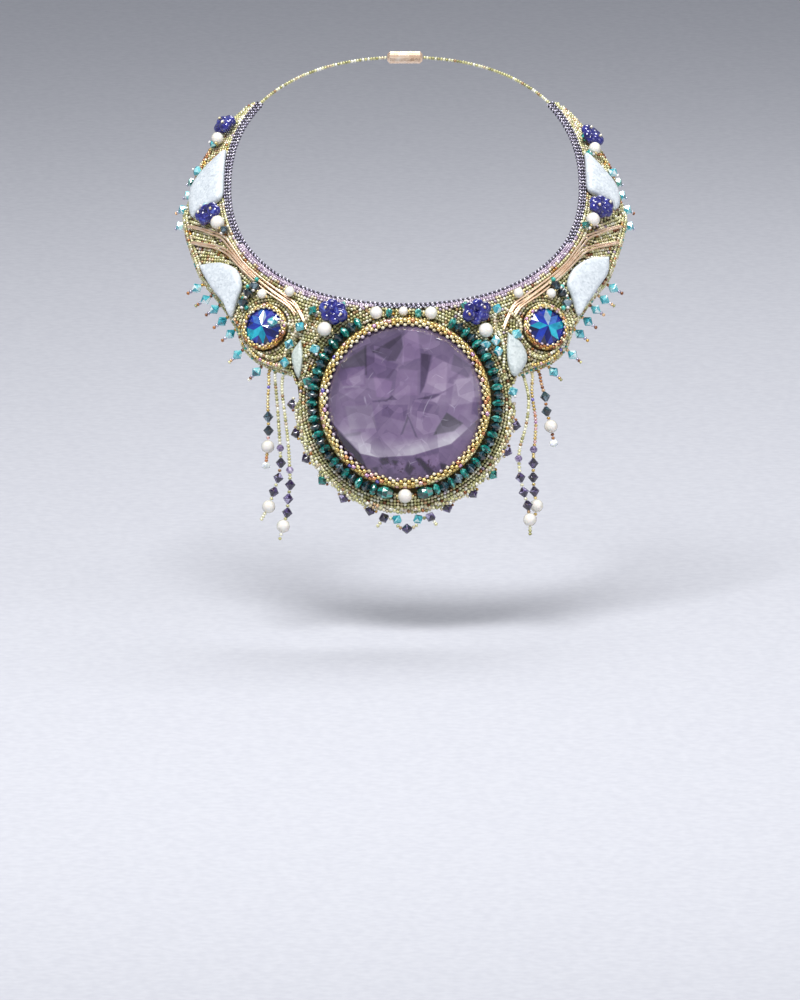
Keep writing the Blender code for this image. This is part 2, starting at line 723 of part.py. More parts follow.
def make_amethyst(finishes, group):
    """Make the amethyst, its gold bezel and the two halves of its crystal ring."""
    matrix = bib_matrix(bib_place(0.0, 0.0, BED_LIFT), BIB_NORMAL)
    rings = (
        (AMETHYST_RADIUS, 0.0, 2 * AMETHYST_FACETS),
        (AMETHYST_RADIUS, AMETHYST_GIRDLE_HEIGHT, 2 * AMETHYST_FACETS),
        (AMETHYST_TABLE_RADIUS, AMETHYST_HEIGHT, AMETHYST_FACETS),
    )
    faceted_stone("amethyst", finishes["amethyst"], group, matrix, rings)
    make_bezel("amethyst_bezel", finishes["gold_beads"], group, matrix, AMETHYST_RADIUS,
               AMETHYST_GIRDLE_HEIGHT, BEZEL_WALL, BEZEL_HEIGHT, BEZEL_LIP, BEZEL_STEPS)
    lift = BED_LIFT + HALO_BEAD_WIDTH / 2
    pearl_room = PEARL_RADIUS + CLEARANCE + HALO_BEAD_LENGTH / 2
    start = math.degrees(pearl_room / HALO_RADIUS)
    arc = math.radians(HALO_END_ANGLE - start) * HALO_RADIUS
    beads = round(arc / HALO_BEAD_LENGTH)
    for side, name in ((-1, "crystal_halo_left"), (1, "crystal_halo_right")):
        points = []
        radii = []
        for bead in range(beads):
            for share, swell in HALO_SWELLS:
                angle = start + (HALO_END_ANGLE - start) * (bead + share) / beads
                points.append(bib_place(side * angle, HALO_RADIUS, lift))
                radii.append(HALO_BEAD_WIDTH / 2 * swell)
        string(name, finishes["teal"], group, points, radii, EDGE_SIDES)


def make_rivolis(finishes, group):
    """Make the two round blue crystals and their bead settings."""
    rings = [(RIVOLI_RADIUS, height, RIVOLI_FACETS) for height in (0.0, RIVOLI_GIRDLE_HEIGHT)]
    rings += [(RIVOLI_RADIUS * share, RIVOLI_HEIGHT * rise, facets) for share, rise, facets in RIVOLI_CROWN]
    for side, word in ((-1, "left"), (1, "right")):
        place, normal = collar_place(side * RIVOLI_TURN, RIVOLI_OUT, BED_LIFT + CLEARANCE)
        matrix = bib_matrix(place, normal)
        faceted_stone(f"rivoli_{word}", finishes["rivoli"], group, matrix, rings)
        make_bezel(f"rivoli_bezel_{word}", finishes["gold_beads"], group, matrix, RIVOLI_RADIUS,
                   RIVOLI_GIRDLE_HEIGHT, RIVOLI_BEZEL_WALL, RIVOLI_BEZEL_HEIGHT, RIVOLI_BEZEL_LIP,
                   RIVOLI_BEZEL_STEPS)


def make_white_stones(finish, group):
    """Make the domed cabochons from their outlines on the collar."""
    for name, outline in WHITE_STONES.items():
        corners = [Vector((turn, share * WING_WIDTH, 0.0)) for turn, share in outline]
        loop = smooth_route(corners + [corners[0]], 2)[:-1]
        middle = sum(loop, Vector()) / len(loop)
        loops = []
        for spread, rise in CABOCHON_DOME:
            lift = BED_LIFT + CLEARANCE + CABOCHON_HEIGHT * rise
            spots = [middle.lerp(corner, spread) for corner in loop]
            loops.append([collar_place(spot.x, spot.y, lift)[0] for spot in spots])
        mesh = loft_loops(name, loops)
        smooth(mesh, 60.0)
        add_object(name, mesh, finish, group)


def make_lapis(finish, group):
    """Make the clusters of blue glass petals, each cluster one body."""
    lift = BED_LIFT + CLEARANCE + PETAL_RADIUS
    for name, rows in LAPIS_CLUSTERS.items():
        centres = [collar_place(turn, share * WING_WIDTH, lift)[0] for turn, share in rows]
        points, radii = beaded([(centre, PETAL_RADIUS, True) for centre in centres])
        string(name, finish, group, points, radii, PEARL_SIDES)


def make_pearls(finish, group):
    """Make the pearls that are sewn on by themselves."""
    places = {}
    for name, (turn, share, size) in PEARLS.items():
        radius = PEARL_RADIUS * size
        lift = BED_LIFT + CLEARANCE + radius
        places[name] = (*collar_place(turn, share * WING_WIDTH, lift), radius)
    lift = BED_LIFT + CLEARANCE + PEARL_RADIUS
    beside = SETTING_RADIUS + CLEARANCE + PEARL_RADIUS
    places["pearl_bottom"] = (bib_place(0.0, beside, lift), BIB_NORMAL, PEARL_RADIUS)
    for name, (place, normal, radius) in places.items():
        shell = bmesh.new()
        bmesh.ops.create_uvsphere(shell, u_segments=PEARL_SIDES, v_segments=PEARL_RINGS, radius=radius)
        mesh = bpy.data.meshes.new(name)
        shell.to_mesh(mesh)
        shell.free()
        mesh.shade_smooth()
        made = add_object(name, mesh, finish, group)
        made.matrix_world = bib_matrix(place, normal)


def make_wires(finish, group):
    """Make the pair of bent gold wires of each wing."""
    radius = WIRE_DIAMETER / 2
    lift = BED_LIFT + CLEARANCE + radius
    for side, word in ((-1, "left"), (1, "right")):
        for name, rows in WIRES.items():
            knots = [Vector((side * turn, share * WING_WIDTH, 0.0)) for turn, share in rows]
            route = [collar_place(knot.x, knot.y, lift)[0] for knot in knots]
            string(f"{name}_{word}", finish, group, route, [radius] * len(route), WIRE_SIDES)


def make_branches(finish, group):
    """Make the sewn branches of crystals on the bib's shoulders."""
    lift = BED_LIFT + CLEARANCE + BICONE_RADIUS
    for name, rows in BRANCHES.items():
        places = []
        for turn, share, bead in rows:
            place = collar_place(turn, share * WING_WIDTH, lift)[0]
            places.append((place, BEAD_RADII[bead], False))
        points, radii = beaded(places)
        string(name, finish, group, points, radii, EDGE_SIDES)


def make_strands(finish, group):
    """Make the hanging strands of seeds, crystals and pearls."""
    down = Vector((0.0, -math.sin(STRAND_LEAN), -math.cos(STRAND_LEAN)))
    forward = Vector((0.0, -math.cos(STRAND_LEAN), math.sin(STRAND_LEAN)))
    for name, (beyond, depth, rows) in STRANDS.items():
        side = -1 if name.endswith("left") else 1
        knot = rim_knot(side * rim_turn(BIB_RADIUS + WING_WIDTH * beyond))
        places = [(knot, SEED_RADIUS, False)]
        for across, drop, bead in rows:
            place = knot + (RIGHT * across + down * drop) * STRAND_LENGTH
            place += forward * BICONE_RADIUS * depth * min(1.0, drop / STRAND_EASE)
            places.append((place, BEAD_RADII[bead], bead == "pearl"))
        points, radii = beaded(places)
        string(name, finish, group, points, radii, PEARL_SIDES)


def make_fringe(finish, group):
    """Make the short fringe that swings under the round bib."""
    rim = BIB_RADIUS + CLEARANCE
    places = []
    for angle, drop, bead in FRINGE_ROUTE:
        place = bib_place(angle, rim + drop * BICONE_RADIUS, BACKING_THICKNESS / 2)
        places.append((place, BEAD_RADII[bead], False))
    points, radii = beaded(places)
    string("bottom_fringe", finish, group, points, radii, EDGE_SIDES)


def make_back(finishes, group):
    """Make the bead strings that close the loop and the plain clasp between them."""
    lift = BACKING_THICKNESS / 2
    out = (collar_width(STRAP_TURN) - EDGE_DIAMETER) / 2
    place = collar_place(180.0, out, lift)[0]
    clasp = bpy.data.meshes.new("clasp")
    shell = bmesh.new()
    bmesh.ops.create_cone(shell, cap_ends=True, segments=CLASP_SIDES, radius1=CLASP_DIAMETER / 2,
                          radius2=CLASP_DIAMETER / 2, depth=CLASP_LENGTH)
    shell.to_mesh(clasp)
    shell.free()
    made = add_object("clasp", clasp, finishes["gold"], group)
    made.matrix_world = Matrix.Translation(place) @ Matrix.Rotation(math.pi / 2, 4, "Y")
    bevel = made.modifiers.new("rounded", "BEVEL")
    bevel.width = CLASP_DIAMETER * CLASP_BEVEL_SHARE
    bevel.segments = 1
    reach = CLASP_LENGTH / 2 + CLEARANCE
    arc = 180.0 - math.degrees(reach / NECK_HALF_WIDTH) - STRAP_TURN
    for side, word in ((-1, "left"), (1, "right")):
        points = []
        for step in range(BACK_STRING_STEPS):
            turn = STRAP_TURN + STRING_GAP_TURN + arc * step / BACK_STRING_STEPS
            points.append(collar_place(side * turn, out, lift)[0])
        points.append(place + RIGHT * side * reach)
        radii = [SEED_RADIUS] * len(points)
        string(f"back_string_{word}", finishes["seeds"], group, points, radii, EDGE_SIDES)


def main():
    """Build the necklace in an emptied scene."""
    for old in list(bpy.data.objects):
        bpy.data.objects.remove(old)
    group = bpy.data.collections.new("bib_necklace")
    cutters = bpy.data.collections.new("cutters")
    bpy.context.scene.collection.children.link(group)
    bpy.context.scene.collection.children.link(cutters)
    finishes = {
        "backing": material("backing", (0.12, 0.10, 0.11), 0.9),
        "seeds": material("seeds", (0.42, 0.36, 0.18), 0.4, 0.5),
        "edging": material("edging", (0.35, 0.32, 0.40), 0.4, 0.3),
        "gold_beads": material("gold_beads", (0.70, 0.52, 0.18), 0.3, 0.8),
        "gold": material("gold", (0.75, 0.48, 0.30), 0.25, 1.0),
        "amethyst": material("amethyst", (0.34, 0.20, 0.42), 0.1),
        "teal": material("teal", (0.02, 0.32, 0.30), 0.1),
        "aqua": material("aqua", (0.12, 0.60, 0.66), 0.1),
        "dark": material("dark_crystal", (0.06, 0.02, 0.14), 0.1),
        "rivoli": material("rivoli", (0.03, 0.14, 0.60), 0.1),
        "white": material("white_stone", (0.80, 0.82, 0.82), 0.4),
        "lapis": material("lapis", (0.06, 0.05, 0.42), 0.2),
        "pearl": material("pearl", (0.85, 0.80, 0.74), 0.3),
    }
    make_backing(finishes["backing"], group)
    make_fields(finishes["seeds"], group)
    make_neck_edge(finishes["edging"], group)
    make_wing_edge(-1, finishes["aqua"], group, cutters)
    make_wing_edge(1, finishes["aqua"], group, cutters)
    make_bib_edge(finishes["dark"], group, cutters)
    make_amethyst(finishes, group)
    make_rivolis(finishes, group)
    make_white_stones(finishes["white"], group)
    make_lapis(finishes["lapis"], group)
    make_pearls(finishes["pearl"], group)
    make_wires(finishes["gold"], group)
    make_branches(finishes["aqua"], group)
    make_strands(finishes["dark"], group)
    make_fringe(finishes["dark"], group)
    make_back(finishes, group)


main()
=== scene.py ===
"""Dressed model of a bead embroidered bib necklace with a large round amethyst.

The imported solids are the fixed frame, and every bead row, cut crystal, stone, pearl and wire is made
here on the same collar. Metres, +Z up, the front looks to -Y. A place on the collar is a turn round
the neck line in degrees from the front, positive to +X, a distance out over the collar and a lift off
its underside. A place on the round bib is an angle from straight down, a radius and a lift.
"""

import logging
import math
from collections.abc import Callable
from dataclasses import dataclass, field
from enum import Enum
from functools import cached_property

import bpy
import numpy as np
from mathutils import Matrix, Vector
from mathutils.kdtree import KDTree


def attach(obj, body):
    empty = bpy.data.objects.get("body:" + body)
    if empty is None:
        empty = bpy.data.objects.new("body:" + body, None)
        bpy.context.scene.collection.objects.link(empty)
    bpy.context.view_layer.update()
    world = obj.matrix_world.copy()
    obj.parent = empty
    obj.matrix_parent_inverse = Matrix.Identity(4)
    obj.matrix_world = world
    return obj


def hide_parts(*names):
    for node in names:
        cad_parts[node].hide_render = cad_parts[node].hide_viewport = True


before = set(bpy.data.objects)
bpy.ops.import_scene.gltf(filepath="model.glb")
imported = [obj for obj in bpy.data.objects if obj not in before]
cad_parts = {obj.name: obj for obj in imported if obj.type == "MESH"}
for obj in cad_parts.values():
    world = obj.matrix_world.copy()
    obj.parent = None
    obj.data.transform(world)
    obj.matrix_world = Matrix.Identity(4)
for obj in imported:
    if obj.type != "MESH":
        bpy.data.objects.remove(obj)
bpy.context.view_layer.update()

log = logging.getLogger("bib_necklace")

MM = 0.001
RIGHT = Vector((1.0, 0.0, 0.0))
SIDES = ((-1, "left"), (1, "right"))


class Bead(Enum):
    """Shapes of bead, each made along its thread hole."""

    SEED = "seed"
    CYLINDER = "cylinder"
    BICONE = "bicone"
    RONDELLE = "rondelle"
    ROUND = "round"
    PETAL = "petal"
    COIN = "coin"


class Finish(Enum):
    """Names of the finishes, each dressed by one class below."""

    OLIVE = "galvanised_olive_seed_glass"
    CREAM = "galvanised_cream_seed_glass"
    COPPER = "galvanised_copper_seed_glass"
    LILAC = "lustred_lilac_seed_glass"
    SILVER = "silver_lined_seed_glass"
    NIGHT = "hematite_seed_glass"
    TURQUOISE = "glazed_turquoise_seed_glass"
    WHITE = "opaque_white_seed_glass"
    GOLD = "gold_plated_cylinder_glass"
    TEAL = "cut_teal_glass"
    AQUA = "cut_aqua_glass"
    MONTANA = "cut_montana_glass"
    PLUM = "cut_plum_glass"
    MAUVE = "cut_mauve_glass"
    MOON = "pressed_moonstone_glass"
    LAPIS = "pressed_lapis_glass"
    NACRE = "nacre_coated_pearl"
    AMETHYST = "polished_amethyst"
    RIVOLI = "foiled_blue_cut_glass"
    HOWLITE = "tumbled_white_stone"
    WIRE = "rose_gold_plated_wire"
    SUEDE = "stiffened_dark_suede"
    FLOOR = "matt_pale_paint"


def linear(code: str, alpha: float = 1.0) -> tuple[float, float, float, float]:
    """Turn an sRGB hex colour into linear light.

    Args:
        code: Colour such as "#8a7fb0".
        alpha: Opacity of the colour.

    Returns:
        Red, green, blue and opacity in linear light.
    """
    parts = [int(code[place:place + 2], 16) / 255 for place in (1, 3, 5)]
    light = [part / 12.92 if part <= 0.04045 else ((part + 0.055) / 1.055) ** 2.4 for part in parts]
    return (*light, alpha)


def connect(tree: bpy.types.NodeTree, node: bpy.types.Node, links: dict) -> None:
    """Give a node's inputs their values or links.

    Args:
        tree: Node tree of the material.
        node: Node whose inputs are set.
        links: Input socket name or number, with its value, an output socket or a node, which
            stands for its first output.
    """
    for socket, value in links.items():
        if isinstance(value, bpy.types.Node):
            value = value.outputs[0]
        if isinstance(value, bpy.types.NodeSocket):
            tree.links.new(value, node.inputs[socket])
        else:
            node.inputs[socket].default_value = value


def add_node(tree: bpy.types.NodeTree, kind: str, links: dict | None = None,
             **settings) -> bpy.types.Node:
    """Add a shader node with its settings and links.

    Args:
        tree: Node tree of the material.
        kind: Name of the node's type after "ShaderNode".
        links: Input socket name or number, with the value, node or output socket that it gets.
        **settings: Properties of the node; stops are a colour ramp's rows of (place, hex colour).

    Returns:
        The new node.
    """
    node = tree.nodes.new("ShaderNode" + kind)
    stops = settings.pop("stops", ())
    if "blend_steps" in settings:
        node.color_ramp.interpolation = settings.pop("blend_steps")
    for name, value in settings.items():
        setattr(node, name, value)
    for index, (place, code) in enumerate(stops):
        ramp = node.color_ramp
        if index == 0:
            ramp.elements.remove(ramp.elements[1])
            stop = ramp.elements[0]
            stop.position = place
        else:
            stop = ramp.elements.new(place)
        stop.color = linear(code)
    connect(tree, node, links or {})
    return node


def start_material(name: str, **constants) -> tuple[bpy.types.Material, bpy.types.NodeTree, bpy.types.Node]:
    """Make a material with its surface shader.

    Args:
        name: Name of the material.
        **constants: Values of the shader's sockets, by name with underscores for spaces.

    Returns:
        The material, its node tree and its surface shader.
    """
    material = bpy.data.materials.new(name)
    material.use_nodes = True
    tree = material.node_tree
    shader = tree.nodes["Principled BSDF"]
    for socket, value in constants.items():
        shader.inputs[socket.replace("_", " ")].default_value = value
    return material, tree, shader


@dataclass(frozen=True)
class SeedGlaze:
    """Small glass beads under a thin fired metal glaze, which glints from each bead's crown.

    Every bead takes one shade of the mixed tube it came from, and the glaze is a little worn.
    """

    name: str
    shades: tuple[tuple[float, str], ...]
    metallic: float = 0.65
    roughness: float = 0.24
    worn: str = "#4a4330"
    wear_mm: float = 0.5

    def dress(self) -> bpy.types.Material:
        """Return the glazed material, whose shade follows each bead's tone."""
        material, tree, shader = start_material(
            self.name, Metallic=self.metallic, IOR=1.52, Coat_Weight=0.5, Coat_Roughness=0.06)
        tone = add_node(tree, "Attribute", attribute_name="tone").outputs["Fac"]
        spot = add_node(tree, "TexCoord").outputs["Object"]
        shade = add_node(tree, "ValToRGB", {0: tone}, stops=self.shades, blend_steps="CONSTANT")
        wear = add_node(tree, "TexNoise", {"Vector": spot, "Scale": 1 / (self.wear_mm * MM), "Detail": 4.0})
        rubbed = add_node(tree, "MapRange", {0: wear, 1: 0.52, 2: 0.78, 3: 0.0, 4: 0.45})
        colour = add_node(tree, "Mix", {0: rubbed, 6: shade, 7: linear(self.worn)}, data_type="RGBA")
        sheen = add_node(tree, "MapRange", {0: wear, 1: 0.3, 2: 0.7, 3: self.roughness * 0.7,
                                            4: self.roughness * 1.5})
        connect(tree, shader, {"Base Color": colour.outputs[2], "Roughness": sheen})
        return material


@dataclass(frozen=True)
class CutGlass:
    """Machine cut glass: flat polished facets, each with a random painted reflection, up to white glints."""

    name: str
    shades: tuple[tuple[float, str], ...]
    clearness: float = 0.08
    streak_mm: float = 1.2

    def dress(self) -> bpy.types.Material:
        """Return the glass, whose shade follows each facet's painted reflection and faint streaks inside."""
        material, tree, shader = start_material(
            self.name, IOR=1.57, Roughness=0.05, Coat_Weight=1.0, Coat_Roughness=0.02,
            Transmission_Weight=self.clearness)
        tone = add_node(tree, "Attribute", attribute_name="tone").outputs["Fac"]
        spot = add_node(tree, "TexCoord").outputs["Object"]
        streak = add_node(tree, "TexNoise", {"Vector": spot,
                                             "Scale": 1 / (self.streak_mm * MM), "Detail": 2.0,
                                             "Distortion": 1.5})
        shift = add_node(tree, "MapRange", {0: streak, 1: 0.3, 2: 0.7, 3: -0.16, 4: 0.16})
        mixed = add_node(tree, "Math", {0: tone, 1: shift}, operation="ADD")
        shade = add_node(tree, "ValToRGB", {0: mixed}, stops=self.shades)
        connect(tree, shader, {"Base Color": shade})
        return material


@dataclass(frozen=True)
class PressedGlass:
    """Moulded glass: rounded, fire polished, cloudy inside with a darker heart."""

    name: str
    shades: tuple[tuple[float, str], ...]
    cloud_mm: float = 3.0
    glow: float = 0.2

    def dress(self) -> bpy.types.Material:
        """Return the cloudy glass with its fire polish."""
        material, tree, shader = start_material(
            self.name, IOR=1.52, Coat_Weight=0.8, Coat_Roughness=0.05, Subsurface_Weight=self.glow,
            Subsurface_Radius=(0.6, 0.6, 1.0), Subsurface_Scale=1.2 * MM)
        spot = add_node(tree, "TexCoord").outputs["Object"]
        cloud = add_node(tree, "TexNoise", {"Vector": spot, "Scale": 1 / (self.cloud_mm * MM),
                                            "Detail": 3.0, "Distortion": 0.8})
        spread = add_node(tree, "MapRange", {0: cloud, 1: 0.3, 2: 0.7})
        shade = add_node(tree, "ValToRGB", {0: spread}, stops=self.shades)
        sheen = add_node(tree, "MapRange", {0: cloud, 3: 0.08, 4: 0.22})
        connect(tree, shader, {"Base Color": shade, "Roughness": sheen})
        return material


@dataclass(frozen=True)
class Nacre:
    """Pearl: a warm white body, faintly tinted by a ripple, with painted shade that turns it greyer and
    greener towards the rim.
    """

    name: str
    ripple_mm: float = 1.6

    def dress(self) -> bpy.types.Material:
        """Return the nacre with its painted rim shade and slight ripple."""
        material, tree, shader = start_material(
            self.name, IOR=1.53, Coat_Weight=0.35, Coat_Roughness=0.12, Subsurface_Weight=0.25,
            Subsurface_Radius=(1.0, 0.8, 0.6), Subsurface_Scale=0.8 * MM)
        spot = add_node(tree, "TexCoord").outputs["Object"]
        ripple = add_node(tree, "TexNoise", {"Vector": spot,
                                             "Scale": 1 / (self.ripple_mm * MM), "Detail": 2.0})
        # Painted shade: the body darkens to grey-green as the surface turns away towards the rim.
        rim = add_node(tree, "LayerWeight", {"Blend": 0.35})
        body = add_node(tree, "ValToRGB", {0: rim.outputs["Facing"]},
                        stops=((0.0, "#f2eee6"), (0.40, "#e4dfd3"), (0.72, "#c5c3b2"), (1.0, "#9a937c")))
        tint = add_node(tree, "Mix", {0: 0.18, 6: body, 7: ripple.outputs["Color"]},
                        data_type="RGBA", blend_type="SOFT_LIGHT")
        sheen = add_node(tree, "MapRange", {0: ripple, 3: 0.16, 4: 0.32})
        connect(tree, shader, {"Base Color": tint.outputs[2], "Roughness": sheen})
        return material


@dataclass(frozen=True)
class PolishedAmethyst:
    """Milky amethyst, ground and polished: healed fracture planes and mist under a glassy face, with a
    painted reflection stripe and glint.

    The plan of the stone is its UV map, from -1 to 1 over the girdle. The planes come as two values
    at each point: shadow, dark to light, and mist, violet to grey.
    """

    name: str
    radius: float = 32.8 * MM
    plane_mm: float = 9.0
    wisp_mm: float = 13.0

    def dress(self) -> bpy.types.Material:
        """Return the stone with its planes, wisps and the dark needles near its lower edge."""
        material, tree, shader = start_material(
            self.name, IOR=1.545, Roughness=0.07, Coat_Weight=0.6, Coat_Roughness=0.03,
            Subsurface_Weight=0.12, Subsurface_Radius=(0.9, 0.7, 1.0), Subsurface_Scale=2 * MM)
        plan = add_node(tree, "UVMap", uv_map="stone_plan")
        shadow = add_node(tree, "Attribute", attribute_name="shadow").outputs["Fac"]
        mist = add_node(tree, "Attribute", attribute_name="mist").outputs["Fac"]
        planes = self.radius / (self.plane_mm * MM)
        wisps = self.radius / (self.wisp_mm * MM)
        warp = add_node(tree, "TexNoise", {"Vector": plan, "Scale": 2.4, "Detail": 3.0})
        bent = add_node(tree, "Mix", {0: 0.03, 6: plan, 7: warp.outputs["Color"]},
                        data_type="RGBA", blend_type="LINEAR_LIGHT")
        cells = add_node(tree, "TexVoronoi", {"Vector": bent.outputs[2], "Scale": planes, "Randomness": 1.0})
        small = add_node(tree, "TexVoronoi", {"Vector": bent.outputs[2], "Scale": planes * 1.9,
                                              "Randomness": 1.0})
        cloud = add_node(tree, "TexNoise", {"Vector": plan, "Scale": 3.2, "Detail": 6.0,
                                            "Roughness": 0.55, "Distortion": 0.6})
        large = add_node(tree, "SeparateColor", {0: cells.outputs["Color"]})
        little = add_node(tree, "SeparateColor", {0: small.outputs["Color"]})
        first = add_node(tree, "Math", {0: large, 1: 0.17, 2: -0.085}, operation="MULTIPLY_ADD")
        second = add_node(tree, "Math", {0: little.outputs[1], 1: 0.10, 2: first}, operation="MULTIPLY_ADD")
        third = add_node(tree, "Math", {0: cloud, 1: 0.26, 2: second}, operation="MULTIPLY_ADD")
        depth = add_node(tree, "Math", {0: third, 1: shadow}, operation="ADD")
        violet = add_node(tree, "ValToRGB", {0: depth}, stops=(
            (0.0, "#24162f"), (0.22, "#40304f"), (0.42, "#5f4b70"), (0.60, "#7a6388"),
            (0.78, "#8f7998"), (1.0, "#ab9cb3")))
        grey = add_node(tree, "ValToRGB", {0: depth}, stops=(
            (0.0, "#2d2a31"), (0.30, "#524c59"), (0.60, "#7d7586"), (0.80, "#9e97a6"), (1.0, "#c6c3ca")))
        haze = add_node(tree, "Math", {0: cloud, 1: 0.5, 2: -0.25}, operation="MULTIPLY_ADD")
        veil = add_node(tree, "Math", {0: haze, 1: mist}, operation="ADD", use_clamp=True)
        body = add_node(tree, "Mix", {0: veil, 6: violet, 7: grey}, data_type="RGBA")
        seams = add_node(tree, "TexVoronoi", {"Vector": bent.outputs[2], "Scale": wisps, "Randomness": 1.0},
                         feature="DISTANCE_TO_EDGE")
        thin = add_node(tree, "MapRange", {0: seams.outputs["Distance"], 1: 0.0, 2: 0.014, 3: 1.0, 4: 0.0})
        patch = add_node(tree, "TexNoise", {"Vector": plan, "Scale": 5.0, "Detail": 1.0})
        some = add_node(tree, "MapRange", {0: patch, 1: 0.55, 2: 0.68})
        wisp = add_node(tree, "Math", {0: thin, 1: some}, operation="MULTIPLY")
        faint = add_node(tree, "Math", {0: wisp, 1: 0.30}, operation="MULTIPLY")
        healed = add_node(tree, "Mix", {0: faint, 6: body.outputs[2], 7: linear("#d9d2e2")},
                          data_type="RGBA")
        needle = add_node(tree, "TexNoise", {"Vector": plan, "Scale": 13.0, "Detail": 4.0,
                                             "Roughness": 0.65, "Distortion": 1.2})
        axes = add_node(tree, "SeparateXYZ", {0: plan})
        low = add_node(tree, "MapRange", {0: axes.outputs[1], 1: -0.66, 2: -0.78})
        near = add_node(tree, "Math", {0: axes}, operation="ABSOLUTE")
        middle = add_node(tree, "MapRange", {0: near, 1: 0.55, 2: 0.30})
        dark = add_node(tree, "MapRange", {0: needle, 1: 0.54, 2: 0.62})
        where = add_node(tree, "Math", {0: low, 1: middle}, operation="MULTIPLY")
        spots = add_node(tree, "Math", {0: where, 1: dark}, operation="MULTIPLY")
        stone = add_node(tree, "Mix", {0: spots, 6: healed.outputs[2], 7: linear("#3a2340")},
                         data_type="RGBA")
        connect(tree, shader, {"Base Color": stone.outputs[2]})
        return material


@dataclass(frozen=True)
class FoiledGlass:
    """Round pointed crystal, cut and foiled: each facet carries one strong clear colour, a painted
    reflection.
    """

    name: str
    play_scale: float = 620.0

    def dress(self) -> bpy.types.Material:
        """Return the foiled glass, coloured by each facet's painted reflection with a fine play inside each.
        """
        material, tree, shader = start_material(
            self.name, IOR=1.6, Metallic=0.25, Roughness=0.08, Coat_Weight=1.0, Coat_Roughness=0.02)
        facet = add_node(tree, "Attribute", attribute_name="painted_facet_reflection")
        spot = add_node(tree, "TexCoord").outputs["Object"]
        play = add_node(tree, "TexVoronoi", {"Vector": spot, "Scale": self.play_scale})
        parts = add_node(tree, "SeparateColor", {0: play.outputs["Color"]})
        gain = add_node(tree, "MapRange", {0: parts, 3: 0.55, 4: 1.25})
        shade = add_node(tree, "Mix", {0: 0.55, 6: facet.outputs["Color"], 7: gain},
                         data_type="RGBA", blend_type="MULTIPLY")
        connect(tree, shader, {"Base Color": shade.outputs[2]})
        return material


@dataclass(frozen=True)
class TumbledStone:
    """White crystalline stone, tumbled: sugary grain with grey specks under a waxy polish."""

    name: str
    grain_mm: float = 0.9
    speck_mm: float = 2.4

    def dress(self) -> bpy.types.Material:
        """Return the white stone with its grain, specks and shallow pits."""
        material, tree, shader = start_material(
            self.name, IOR=1.5, Subsurface_Weight=0.2, Subsurface_Radius=(1.0, 1.0, 1.0),
            Subsurface_Scale=0.8 * MM, Coat_Weight=0.15, Coat_Roughness=0.2)
        spot = add_node(tree, "TexCoord").outputs["Object"]
        tone = add_node(tree, "Attribute", attribute_name="tone").outputs["Fac"]
        grain = add_node(tree, "TexVoronoi", {"Vector": spot, "Scale": 1 / (self.grain_mm * MM)})
        parts = add_node(tree, "SeparateColor", {0: grain.outputs["Color"]})
        speck = add_node(tree, "TexNoise", {"Vector": spot,
                                            "Scale": 1 / (self.speck_mm * MM), "Detail": 6.0,
                                            "Roughness": 0.7, "Distortion": 1.0})
        level = add_node(tree, "Math", {0: parts, 1: 0.35, 2: speck}, operation="MULTIPLY_ADD")
        white = add_node(tree, "ValToRGB", {0: level}, stops=(
            (0.30, "#aeb6bc"), (0.46, "#c0c8ce"), (0.62, "#ccd3d8"), (0.85, "#dbe1e5")))
        green = add_node(tree, "ValToRGB", {0: level}, stops=(
            (0.30, "#9aa69e"), (0.50, "#b4bfb6"), (0.85, "#ced6ce")))
        body = add_node(tree, "Mix", {0: tone, 6: white, 7: green}, data_type="RGBA")
        pits = add_node(tree, "Bump", {"Strength": 0.35, "Distance": 0.25 * MM, "Height": level})
        sheen = add_node(tree, "MapRange", {0: parts.outputs[1], 3: 0.22, 4: 0.5})
        connect(tree, shader, {"Base Color": body.outputs[2], "Roughness": sheen, "Normal": pits})
        return material


@dataclass(frozen=True)
class PlatedWire:
    """Drawn brass wire, plated rose gold: bright, with faint draw lines and fingerprints."""

    name: str
    line_mm: float = 0.12
    smudge_scale: float = 260.0

    def dress(self) -> bpy.types.Material:
        """Return the plated metal with its draw lines."""
        material, tree, shader = start_material(self.name, Metallic=0.8)
        spot = add_node(tree, "TexCoord").outputs["Object"]
        lines = add_node(tree, "TexNoise", {"Vector": spot,
                                            "Scale": 1 / (self.line_mm * MM), "Detail": 2.0})
        smudge = add_node(tree, "TexNoise", {"Vector": spot, "Scale": self.smudge_scale, "Detail": 3.0})
        colour = add_node(tree, "ValToRGB", {0: smudge}, stops=(
            (0.3, "#f3cdab"), (0.55, "#fde0c4"), (0.75, "#fff0de")))
        sheen = add_node(tree, "MapRange", {0: smudge, 3: 0.22, 4: 0.38})
        scratch = add_node(tree, "Bump", {"Strength": 0.05, "Distance": 0.02 * MM, "Height": lines})
        connect(tree, shader, {"Base Color": colour, "Roughness": sheen, "Normal": scratch})
        return material


